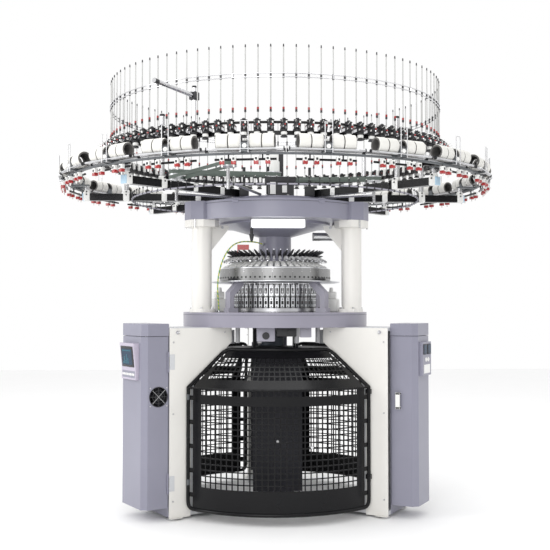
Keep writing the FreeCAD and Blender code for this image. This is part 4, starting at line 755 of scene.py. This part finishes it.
bm = bmesh.new()
add_rod(bm, (1.3762, -0.021, 2.1935), (1.3762, 0.021, 2.1935), 0.0016, 6)
ring_piece("bobbin_guard_hoops", bm, steel, STATIONS, STATION_TURN)

bm = bmesh.new()
for y in FEELER_PLACES:
    add_box(bm, (1.3363, y - 0.012, 1.9760), (1.3623, y + 0.012, 1.9935), 0.002, 2)
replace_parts(ring_piece("feeler_feet", bm, red_plastic, STATIONS, STATION_TURN), "yarn_sensors")

bm = bmesh.new()
for y in FEELER_PLACES:
    add_box(bm, (1.3368, y - 0.0115, 1.9930), (1.3618, y + 0.0115, 2.0178), 0.002, 2)
ring_piece("feeler_heads", bm, white_plastic, STATIONS, STATION_TURN)

bm = bmesh.new()
add_box(bm, (1.290, -0.0215, 2.086), (1.3705, 0.0215, 2.0945), 0.003, 2)
for side in (-1, 1):
    add_rod(bm, (1.302, side * 0.203, 2.054), (1.302, side * 0.1985, 2.054), 0.010, 14)
    add_rod(bm, (1.358, side * 0.203, 2.054), (1.358, side * 0.1985, 2.054), 0.010, 14)
    for y in (0.058, 0.118):
        add_box(bm, (1.3620, side * y - 0.006, 1.998), (1.3634, side * y + 0.006, 2.010), 0.0004)
ring_piece("station_covers_and_caps", bm, black_plastic, STATIONS, STATION_TURN)

bm = bmesh.new()
for side in (-1, 1):
    for y in (0.058, 0.118):
        add_rod(bm, (1.349, side * y, 1.9765), (1.349, side * y, 1.962), 0.0055, 10, 0.004)
        add_rod(bm, (1.3622, side * y, 1.992), (1.372, side * y, 1.992), 0.003, 8)
ring_piece("feeler_eyelets", bm, white_plastic, STATIONS, STATION_TURN)

# %% [markdown]
# ## Creel posts and arms
# The creel's square arms carry steel posts in white moulded clamps. Light blue plugs close the ends
# of the arms, and black caps close the posts.

# %% Posts, clamps and plugs
bm = bmesh.new()
for x, top in ((0.965, 2.352), (1.220, 2.030)):
    add_rod(bm, (x, 0, 1.985), (x, 0, top), 0.015, 20)
copy_at(bm, ARM_ANGLES)
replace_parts(make_piece("post_tubes", bm, steel), "creel_posts")

bm = bmesh.new()
for x in POST_CIRCLES:
    add_box(bm, (x - 0.0205, -0.0265, 1.9345), (x + 0.0205, 0.0265, 1.9855), 0.004, 2)
    add_rod(bm, (x, 0, 1.985), (x, 0, 2.004), 0.0225, 20, 0.019, 0.002)
for x in (0.50, 0.72):
    add_box(bm, (x - 0.018, -0.025, 1.9355), (x + 0.018, 0.025, 1.9835), 0.004, 2)
copy_at(bm, ARM_ANGLES)
make_piece("arm_clamps", bm, white_plastic)

bm = bmesh.new()
add_rod(bm, (0.965, 0, 2.350), (0.965, 0, 2.364), 0.0162, 20, 0.0155, 0.002)
for x in POST_CIRCLES:
    for side in (-1, 1):
        add_rod(bm, (x, side * 0.0265, 1.974), (x, side * 0.031, 1.974), 0.005, 6)
        add_rod(bm, (x, side * 0.020, 1.994), (x, side * 0.030, 1.994), 0.005, 8)
add_box(bm, (0.952, -0.018, 2.174), (0.978, 0.018, 2.206), 0.003)
copy_at(bm, ARM_ANGLES)
make_piece("post_caps_and_screws", bm, black_plastic)

bm = bmesh.new()
add_box(bm, (1.236, -0.0235, 1.935), (1.247, 0.0235, 1.982), 0.002)
copy_at(bm, ARM_ANGLES)
make_piece("arm_end_plugs", bm, sky_plastic)

bm = bmesh.new()
add_rod(bm, (1.036, 0, 2.464), (1.036, 0, 2.4745), 0.0128, 16)
add_rod(bm, (1.405, 0, 2.418), (1.4395, 0, 2.418), 0.0126, 16)
add_box(bm, (1.0135, -0.0225, 2.396), (1.0585, 0.0225, 2.4405), 0.005, 2)
turn_all(bm, 241.875)
make_piece("outrigger_sleeves", bm, black_plastic)

# %% [markdown]
# ## Yarn guides under the arms
# A flat hoop under the arms leads every yarn inwards. Each yarn runs through a ceramic eye in a
# short black holder, and there is one for each feeder.

# %% Guide hoop eyes
bm = bmesh.new()
add_box(bm, (0.9205, -0.006, 1.9255), (0.9295, 0.006, 1.9385), 0.0015)
add_rod(bm, (0.925, 0, 1.938), (0.925, 0, 1.966), 0.0018, 6)
add_rod(bm, (0.925, 0, 1.964), (0.925, 0, 1.974), 0.0055, 8, 0.004)
ring_piece("hoop_guides", bm, black_plastic, FEEDERS, HALF_FEEDER)

bm = bmesh.new()
add_rod(bm, (0.925, 0, 1.974), (0.925, 0, 1.979), 0.0035, 8, 0.002)
ring_piece("hoop_guide_eyes", bm, white_plastic, FEEDERS, HALF_FEEDER)

# %% [markdown]
# ## Belt drive on the top cover
# A belt box at the front turns the feeder belt through a pair of pulleys and flat green belts. The
# loops are drawn as thin bands round their pulleys.

# %% Pulleys and belts
def add_band(bm, start, end, radius, low, high, thick=0.002):
    """A flat belt round two pulleys: two straight runs, and a half ring at each end."""
    start, end = Vector(start), Vector(end)
    along = (end - start).normalized()
    angle = math.atan2(along.y, along.x)
    section = [bm.verts.new((0, radius, z)) for z in (low, high)]
    section += [bm.verts.new((0, radius + thick, z)) for z in (high, low)]
    edges = [bm.edges.new((a, b)) for a, b in zip(section, section[1:] + section[:1])]
    loop = section + edges
    made = set(section)
    length = (end - start).length
    steps = (("run", -length), ("bend", 0), ("run", length), ("bend", 0))
    centre_x = 0.0
    for kind, value in steps:
        if kind == "run":
            rim = [g for g in loop if isinstance(g, bmesh.types.BMEdge)]
            loop = bmesh.ops.extrude_edge_only(bm, edges=rim)["geom"]
            verts = [g for g in loop if isinstance(g, bmesh.types.BMVert)]
            bmesh.ops.translate(bm, vec=(value, 0, 0), verts=verts)
            rim = [g for g in loop if isinstance(g, bmesh.types.BMEdge) and set(g.verts) <= set(verts)]
            loop = verts + rim
            centre_x += value
            made.update(verts)
        else:
            spun = bmesh.ops.spin(
                bm, geom=loop, cent=(centre_x, 0, 0), axis=(0, 0, 1), angle=math.pi, steps=8, use_merge=False
            )
            loop = spun["geom_last"]
    linked = linked_verts(made)
    place_now = Matrix.Translation(end) @ Matrix.Rotation(angle, 4, "Z")
    bmesh.ops.transform(bm, matrix=place_now, verts=linked)
    bmesh.ops.remove_doubles(bm, verts=linked, dist=0.0002)


bm = bmesh.new()
add_band(bm, (-0.02, -0.27, 0), (-0.62, -0.36, 0), 0.045, 2.062, 2.084)
add_band(bm, (0.05, -0.27, 0), (0.60, -0.33, 0), 0.045, 2.032, 2.052)
add_band(bm, (-0.62, -0.36, 0), (-0.30, -0.93, 0), 0.045, 2.030, 2.050)
bmesh.ops.recalc_face_normals(bm, faces=bm.faces[:])
make_piece("flat_belts", bm, belt_green)

bm = bmesh.new()
for x, y, low, high in (
    (-0.02, -0.27, 2.056, 2.090),
    (-0.62, -0.36, 2.024, 2.090),
    (-0.30, -0.93, 2.024, 2.056),
    (0.05, -0.27, 2.052, 2.058),
    (0.60, -0.33, 2.026, 2.058),
):
    add_lathe(
        bm,
        [(0.004, low), (0.048, low), (0.048, low + 0.003), (0.0445, low + 0.004), (0.0445, high - 0.004)]
        + [(0.048, high - 0.003), (0.048, high), (0.012, high), (0.012, high + 0.008), (0.004, high + 0.008)],
        32,
        Matrix.Translation((x, y, 0)),
    )
make_piece("belt_pulleys", bm, aluminium)

bm = bmesh.new()
for x, y in ((-0.62, -0.36), (-0.30, -0.93), (0.60, -0.33)):
    add_rod(bm, (x, y, 1.90), (x, y, 2.03), 0.010, 14)
for degrees, reach in ((210, 0.72), (252, 0.978), (331, 0.69)):
    add_rod(bm, on_circle(0.34, degrees, 1.944), on_circle(reach, degrees, 1.944), 0.008, 12)
make_piece("pulley_brackets", bm, steel)

bm = bmesh.new()
add_box(bm, (-0.047, -0.292, 2.052), (0.010, -0.262, 2.215), 0.004, 2)
add_box(bm, (-0.045, -0.3345, 1.945), (-0.010, -0.330, 2.040), 0.002)
add_box(bm, (0.030, -0.3345, 1.955), (0.060, -0.330, 2.000), 0.002)
add_box(bm, (-0.030, -0.004, 2.060), (0.030, -0.0005, 2.20), 0.001)
make_piece("drive_box_plates", bm, white_plastic)

bm = bmesh.new()
for side in (-1, 1):
    add_box(bm, (side * 0.205 - 0.030, -0.300, 1.936), (side * 0.205 + 0.030, -0.240, 2.000), 0.005, 2)
    add_rod(bm, (side * 0.205, -0.270, 2.000), (side * 0.205, -0.270, 2.120), 0.009, 12)
add_box(bm, (-0.075, -0.337, 2.020), (0.115, -0.205, 2.0545), 0.004, 2)
make_piece("drive_box_covers", bm, black_plastic)

# %% [markdown]
# ## Knitting head
# Two rows of cam boxes stand round the cylinder, with thin dark rings of painted shadow between and below the
# rows. Each box is held by socket screws, and its window for the yarn is a thin dark plate of painted shade.
# Above them, plates cover the dial cams, and ceramic eyes end the guides.

# %% Cam box trim
bm = bmesh.new()
for z in (1.252, 1.297):
    add_rod(bm, (0.2655, 0, z), (0.2672, 0, z), 0.0045, 8)
for z in (1.3185, 1.379):
    for y in (-0.008, 0.008):
        add_rod(bm, (0.2655, y, z), (0.2672, y, z), 0.003, 6)
# These two thin dark plates are painted shade standing for the yarn windows.
add_box(bm, (0.2655, -0.0085, 1.332), (0.2664, 0.0085, 1.366))
add_box(bm, (0.2655, -0.007, 1.264), (0.2664, 0.007, 1.286))
ring_piece("cam_box_screws_and_window_shade", bm, dark_screws_and_painted_shade, CAMS)

bm = bmesh.new()
add_lathe(bm, [(0.2655, 1.3075), (0.2676, 1.3075), (0.2676, 1.3145), (0.2655, 1.3145)], 96)
add_lathe(bm, [(0.2655, 1.2405), (0.2672, 1.2405), (0.2672, 1.2455), (0.2655, 1.2455)], 96)
add_lathe(bm, [(0.2371, 1.2405), (0.2374, 1.2405), (0.2374, 1.391), (0.2371, 1.391)], 96)
add_lathe(bm, [(0.2755, 1.216), (0.2765, 1.216), (0.2765, 1.2185), (0.2755, 1.2185)], 96)
make_piece("cam_row_shadow_band", bm, dark_screws_and_painted_shade)

bm = bmesh.new()
add_box(bm, (0.2665, -0.004, 1.336), (0.2705, 0.004, 1.350), 0.001)
add_rod(bm, (0.268, 0, 1.350), (0.276, 0, 1.392), 0.0016, 6)
add_rod(bm, (0.276, 0, 1.389), (0.276, 0, 1.396), 0.004, 8)
ring_piece("cam_box_levers", bm, chrome, CAMS)

bm = bmesh.new()
add_rod(bm, (0.3596, 0, 1.4335), (0.3607, 0, 1.4335), 0.0062, 10)
ring_piece("segment_screws", bm, dark_screws_and_painted_shade, 2 * SEGMENTS, 90 / SEGMENTS)

bm = bmesh.new()
add_rod(bm, (0.3598, 0, 1.468), (0.3607, 0, 1.468), 0.0035, 8)
add_box(bm, (0.3598, -0.0045, 1.4805), (0.3609, 0.0045, 1.4845))
ring_piece("segment_marks", bm, steel, SEGMENTS, 180 / SEGMENTS)

# %% Dial plates and guide eyes
slope = math.atan2(0.036, 0.085)
bm = bmesh.new()
add_box(bm, (-0.040, -0.0145, 0.0), (0.040, 0.0145, 0.006), 0.0015)
add_rod(bm, (-0.025, 0, 0.006), (-0.025, 0, 0.0085), 0.004, 8)
add_rod(bm, (0.025, 0, 0.006), (0.025, 0, 0.0085), 0.004, 8)
tilt = Matrix.Translation((0.2985, 0, 1.5145)) @ Matrix.Rotation(slope, 4, "Y")
bmesh.ops.transform(bm, matrix=tilt, verts=bm.verts)
ring_piece("dial_cam_plates", bm, white_plastic, CAMS)

bm = bmesh.new()
add_rod(bm, (0.331, 0, 1.541), (0.337, 0, 1.537), 0.0045, 8)
add_rod(bm, (0.312, 0, 1.603), (0.318, 0, 1.6055), 0.004, 8)
add_box(bm, (0.262, -0.0055, 1.533), (0.300, 0.0055, 1.5405), 0.001)
ring_piece("guide_eyes", bm, chrome, CAMS, 180 / CAMS)

bm = bmesh.new()
for height, reach in ((0.052, 0.030), (0.064, 0.022), (0.036, 0.050)):
    add_rod(bm, (0.250, 0, 1.540 + height * 0.5), (0.262 + reach, 0, 1.540 + height), 0.0022, 6, 0.0009)
ring_piece("guide_wires", bm, black_plastic, 2 * CAMS, 90 / CAMS)

# %% Brackets, pads and oil units
bm = bmesh.new()
add_box(bm, (0.370, -0.019, 1.4135), (0.412, 0.019, 1.4255), 0.003, 2)
add_rod(bm, (0.380, 0, 1.4255), (0.380, 0, 1.432), 0.006, 6)
add_rod(bm, (0.402, 0, 1.4255), (0.402, 0, 1.432), 0.006, 6)
add_rod(bm, (0.378, 0, 1.241), (0.378, 0, 1.248), 0.008, 6)
ring_piece("bracket_pads", bm, black_plastic, 4, 45)

bm = bmesh.new()
add_box(bm, (0.330, -0.045, 1.2155), (0.420, 0.045, 1.300), 0.010, 3)
add_box(bm, (0.345, -0.030, 1.300), (0.405, 0.020, 1.345), 0.008, 3)
add_rod(bm, (0.372, 0.000, 1.345), (0.372, 0.000, 1.372), 0.014, 18, 0.010, 0.002)
copy_at(bm, [196, 344])
make_piece("oil_units", bm, white_plastic)

bm = bmesh.new()
add_box(bm, (-0.245, -0.330, 1.600), (-0.175, -0.327, 1.632), 0.001)
add_rod(bm, (-0.245, -0.328, 1.632), (-0.245, -0.328, 1.585), 0.002, 8)
make_piece("red_tag_plate", bm, red_plastic)

bm = bmesh.new()
add_rod(bm, (-0.158, -0.300, 1.775), (-0.158, -0.300, 1.700), 0.010, 14)
add_rod(bm, (-0.158, -0.300, 1.700), (-0.158, -0.300, 1.655), 0.017, 18, 0.007, 0.002)
make_piece("air_nozzle", bm, black_plastic)

# %% [markdown]
# ## Columns and top frame
# The columns stand on round feet with hexagon bolts. A grey strip guides the lamp's cable up the
# inner side of each one, and their caps are bolted to the frame above.

# %% Column bolts, strips and frame brackets
LAMP_LINE = (-0.100, 1.699)
bm = bmesh.new()
for degrees in (60, 120, 180, 240, 300):
    a = math.radians(degrees)
    x, y = 0.540 + 0.0745 * math.cos(a), 0.0745 * math.sin(a)
    add_rod(bm, (x, y, 1.237), (x, y, 1.246), 0.0075, 6)
for side in (-1, 1):
    add_rod(bm, (0.620, side * 0.060, 1.7855), (0.620, side * 0.060, 1.735), 0.006, 6)
    add_rod(bm, (0.400, side * 0.007, 1.748), (0.400, side * 0.013, 1.748), 0.009, 6)
leg_piece("column_bolts", bm, steel)

bm = bmesh.new()
add_box(bm, (0.4755, -0.011, 1.260), (0.4785, 0.011, 1.640), 0.001)
leg_piece("column_strips", bm, grey_enamel)

bm = bmesh.new()
add_box(bm, (0.5695, -0.020, 1.872), (0.5745, 0.020, 1.892), 0.002)
add_box(bm, (0.548, -0.020, 1.8955), (0.5745, 0.020, 1.9005), 0.001)
copy_at(bm, [243, 297, 20, 160])
make_piece("rim_brackets", bm, blue_enamel)

# Two thin dark rings, standing just proud of the surface, are painted shade for seams at the top frame and
# lower down.
bm = bmesh.new()
add_lathe(bm, [(0.5698, 1.8812), (0.5706, 1.8812), (0.5706, 1.8832), (0.5698, 1.8832)], 128)
add_lathe(bm, [(0.5937, 1.1995), (0.5946, 1.1995), (0.5946, 1.2012), (0.5937, 1.2012)], 128)
make_piece("painted_seam_shade_lines", bm, dark_screws_and_painted_shade)

bm = bmesh.new()
add_rod(bm, (0.345, 0, 1.936), (0.345, 0, 1.943), 0.008, 6)
ring_piece("boss_screws", bm, steel, 16, 11)

bm = bmesh.new()
add_box(bm, (-0.164, -0.460, 1.7275), (0.164, -0.410, 1.785), 0.014, 3)
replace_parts(make_piece("lamp_bar", bm, lamp_white), "lamp_bar_and_work_lamp")

bm = bmesh.new()
add_rod(bm, (0.241, *LAMP_LINE), (0.384, *LAMP_LINE), 0.0257, 24)
add_box(bm, (0.365, -0.110, 1.720), (0.385, -0.090, 1.785), 0.001)
for x in (0.275, 0.345):
    add_rod(bm, (x, *LAMP_LINE), (x + 0.006, *LAMP_LINE), 0.0268, 24)
make_piece("work_lamp", bm, steel)

bm = bmesh.new()
for side in (-1, 1):
    add_box(bm, (side * 0.1655 - 0.003, -0.461, 1.728), (side * 0.1655 + 0.003, -0.409, 1.7855), 0.002)
add_box(bm, (-0.165, -0.462, 1.779), (0.165, -0.458, 1.7855), 0.001)
add_rod(bm, (0.238, *LAMP_LINE), (0.245, *LAMP_LINE), 0.027, 24)
add_rod(bm, (0.380, *LAMP_LINE), (0.3865, *LAMP_LINE), 0.027, 24)
make_piece("lamp_end_caps", bm, grey_enamel)

# %% [markdown]
# ## Leg panels
# The cream side panels are screwed to the legs. A chrome eye bolt near each top corner is where the
# machine is slung from, and flat hinge leaves carry the cabinet doors.

# %% Eye bolts, screws and hinge leaves
bm = bmesh.new()
for side in (-1, 1):
    face = side * 0.1675
    add_rod(bm, (0.790, face, 1.098), (0.790, face + side * 0.006, 1.098), 0.011, 16)
    eye = Matrix.Translation((0.790, face + side * 0.014, 1.098)) @ Matrix.Rotation(math.radians(90), 4, "Y")
    add_lathe(bm, [(0.0065, -0.0025), (0.0115, -0.0025), (0.0115, 0.0025), (0.0065, 0.0025)], 18, eye)
leg_piece("eye_bolts", bm, chrome)

OUTER_SCREWS = ((0.815, 1.040), (0.815, 0.620), (0.815, 0.110))
INNER_SCREWS = ((0.720, 0.740), (0.720, 0.110), (0.470, 1.095))
bm = bmesh.new()
for side in (-1, 1):
    face = side * 0.1674
    for x, z in OUTER_SCREWS + INNER_SCREWS:
        add_rod(bm, (x, face, z), (x, face + side * 0.004, z), 0.0055, 6)
leg_piece("panel_screws", bm, steel)

bm = bmesh.new()
for z in (0.215, 0.925):
    add_box(bm, (0.806, 0.1672, z - 0.045), (0.8395, 0.1692, z + 0.045), 0.0008)
leg_piece("hinge_leaves", bm, light_grey)

bm = bmesh.new()
for side in (-1, 1):
    low, high = sorted((side * 0.1675, side * 0.1905))
    add_box(bm, (0.760, low, 0.0125), (0.838, high, 0.0155), 0.001)
leg_piece("panel_foot_lips", bm, cream_enamel)

# %% [markdown]
# ## Operator panel
# The left cabinet's cover carries the controls. The housing leans back a little at the top, where a
# glass screen sits in a black frame, and a row of small keys is below it. Plain blocks of colour
# stand for what the screen shows.

# %% Operator panel pieces
LEAN = math.atan2(0.016, 0.152)


def on_lean(bm):
    """Stands pieces drawn on a flat upright face at x=0, z=0 on the leaning face of the housing."""
    place_now = Matrix.Translation((1.0250, 0, 0.884)) @ Matrix.Rotation(LEAN, 4, "Y")
    bmesh.ops.transform(bm, matrix=place_now, verts=bm.verts)
    turn_all(bm, LEG_ANGLES["left"])


bm = bmesh.new()
add_box(bm, (0.0, -0.084, 0.012), (0.004, 0.084, 0.134), 0.002, 2)
on_lean(bm)
make_piece("screen_frame", bm, black_plastic, "left_cover")

bm = bmesh.new()
add_box(bm, (0.0035, -0.070, 0.024), (0.0048, 0.070, 0.120), 0.0005)
on_lean(bm)
make_piece("operator_screen", bm, screen_glass, "left_cover")

bm = bmesh.new()
for k in range(5):
    y, top = -0.060 + 0.017 * k, 0.042 + 0.011 * ((k * 3) % 5)
    add_box(bm, (0.0046, y, 0.032), (0.0051, y + 0.012, top))
add_box(bm, (0.0046, -0.062, 0.106), (0.0051, 0.062, 0.112))
on_lean(bm)
make_piece("screen_bars", bm, screen_cyan, "left_cover")

bm = bmesh.new()
for k in range(8):
    y = -0.077 + 0.022 * k
    add_box(bm, (1.0245, y - 0.007, 0.846), (1.0285, y + 0.007, 0.860), 0.0015)
cover_piece("operator_keys", bm, white_plastic, "left")

bm = bmesh.new()
add_box(bm, (1.0240, -0.092, 0.832), (1.0256, 0.092, 0.874), 0.001)
cover_piece("key_field", bm, blue_enamel, "left")

# %% [markdown]
# ## Gauges, handle and fan trim
# The right cabinet has two dark gauges over two white push buttons. Its door is pulled open by a
# white bow handle with black ends. Four screws hold the fan's guard on the left cabinet.

# %% Gauges and buttons
GAUGE_PLACES = (-0.037, 0.037)
bm = bmesh.new()
for y in GAUGE_PLACES:
    add_box(bm, (1.0265, y - 0.031, 0.965), (1.0315, y + 0.031, 1.027), 0.002, 2)
cover_piece("gauge_frames", bm, black_plastic, "right")

bm = bmesh.new()
for y in GAUGE_PLACES:
    add_box(bm, (1.0312, y - 0.026, 0.970), (1.0322, y + 0.026, 1.022), 0.0004)
cover_piece("gauge_windows", bm, screen_glass, "right")

bm = bmesh.new()
add_box(bm, (1.0265, -0.055, 0.853), (1.0283, 0.055, 0.905), 0.001)
for y in (-0.020, 0.020):
    ring = Matrix.Translation((1.027, y, 0.935)) @ Matrix.Rotation(math.radians(90), 4, "Y")
    add_lathe(bm, [(0.0090, -0.0005), (0.0135, -0.0005), (0.0130, 0.003), (0.0090, 0.003)], 24, ring)
cover_piece("button_bezels", bm, white_plastic, "right")

# %% Handle ends and fan screws
bm = bmesh.new()
for low, high in ((0.6455, 0.659), (0.729, 0.7425)):
    add_box(bm, (0.8795, -0.1495, low), (0.9065, -0.125, high), 0.003, 2)
cover_piece("handle_ends", bm, black_plastic, "right")

bm = bmesh.new()
for x in (-0.0525, 0.0525):
    for z in (-0.0525, 0.0525):
        add_rod(bm, (0.907 + x, 0.1598, 0.724 + z), (0.907 + x, 0.1628, 0.724 + z), 0.0045, 12)
        add_rod(bm, (0.907, 0.1622, 0.724), (0.907 + 0.74 * x, 0.1622, 0.724 + 0.74 * z), 0.0020, 6)
cover_piece("fan_screws", bm, steel, "left")

# %% Cover locks
for side, half in (("left", 0.160), ("rear", 0.125)):
    bm = bmesh.new()
    add_rod(bm, (0.875, -half - 0.0045, 0.930), (0.875, -half + 0.001, 0.930), 0.010, 18)
    add_box(bm, (0.8735, -half - 0.0060, 0.924), (0.8765, -half - 0.004, 0.936))
    cover_piece(f"door_lock_{side}", bm, chrome, side)

# %% [markdown]
# ## Gate trim
# Each guard gate has a small chrome knob to pull it open, and two latch plates at one edge.

# %% Knobs and latches
for name, degrees in (("front", 0), ("right", 120), ("left", 240)):
    bm = bmesh.new()
    add_rod(bm, (0.744, 0, 0.450), (0.757, 0, 0.450), 0.004, 12)
    add_rod(bm, (0.756, 0, 0.450), (0.770, 0, 0.450), 0.008, 18, 0.009, 0.002)
    turn_all(bm, 283.5 + degrees)
    make_piece(f"gate_knob_{name}", bm, chrome, f"{name}_gate")
    bm = bmesh.new()
    for z in (0.200, 0.700):
        add_box(bm, (0.737, -0.006, z), (0.757, 0.006, z + 0.034), 0.002)
    turn_all(bm, 270 - 45.6 + degrees)
    make_piece(f"gate_latches_{name}", bm, grey_plastic, f"{name}_gate")

# %% [markdown]
# ## Under the bed
# Through the gap above the front gate, the lower drive shows: grey posts under the bed, two
# small gearboxes and the dark covers beside them.

# %% Posts and gearbox under the bed
bm = bmesh.new()
for degrees in (238, 256, 284, 302):
    add_rod(bm, on_circle(0.46, degrees, 1.030), on_circle(0.46, degrees, 1.1255), 0.014, 16)
make_piece("bed_posts", bm, grey_enamel)

bm = bmesh.new()
add_box(bm, (-0.130, -0.470, 1.040), (-0.020, -0.400, 1.1255), 0.006, 2)
add_box(bm, (0.130, -0.460, 1.065), (0.200, -0.400, 1.1255), 0.005, 2)
make_piece("bed_gearbox", bm, lilac_grey)

bm = bmesh.new()
add_box(bm, (-0.010, -0.465, 1.070), (0.110, -0.410, 1.1255), 0.005, 2)
add_rod(bm, (-0.075, -0.475, 1.075), (-0.075, -0.465, 1.075), 0.022, 20)
add_rod(bm, (0.070, -0.470, 1.095), (0.070, -0.462, 1.095), 0.012, 16)
make_piece("bed_drive_covers", bm, black_plastic)

# %% [markdown]
# ## The room
# A plain pale floor and four large soft lights, in front, on the left, on the right and above, with a
# white sky that fills the shadows.

# %% Floor and lights
floor_mesh = bmesh.new()
bmesh.ops.create_grid(floor_mesh, x_segments=1, y_segments=1, size=12.0)
floor_data = bpy.data.meshes.new("studio_floor")
floor_mesh.to_mesh(floor_data)
floor_mesh.free()
studio_floor = add_object("studio_floor", floor_data)
floor_data.materials.append(make_finish("pale_floor", (0.93, 0.93, 0.93), 0.7, shade=0.99, bump=0.02))


def add_light(name, place_at, target, power, width):
    data = bpy.data.lights.new(name, "AREA")
    data.energy = power
    data.shape = "SQUARE"
    data.size = width
    light = add_object(name, data)
    light.location = place_at
    light.rotation_euler = (Vector(target) - Vector(place_at)).to_track_quat("-Z", "Y").to_euler()


add_light("front_softbox", (-1.5, -6.5, 3.2), (0, 0, 1.2), 120, 3.5)
add_light("left_softbox", (-5.5, -1.5, 3.0), (0, 0, 1.4), 105, 3.0)
add_light("right_softbox", (5.5, -2.5, 2.6), (0, 0, 1.4), 12, 3.0)
add_light("top_softbox", (0, 0.5, 6.0), (0, 0, 1.5), 110, 4.0)
world = bpy.data.worlds.new("studio")
world.use_nodes = True
set_inputs(world.node_tree.nodes["Background"], {"Color": (1.0, 1.0, 1.0, 1), "Strength": 1.0})
bpy.context.scene.world = world
bpy.context.scene.view_settings.view_transform = "Standard"
print("lights:", len(bpy.data.lights))
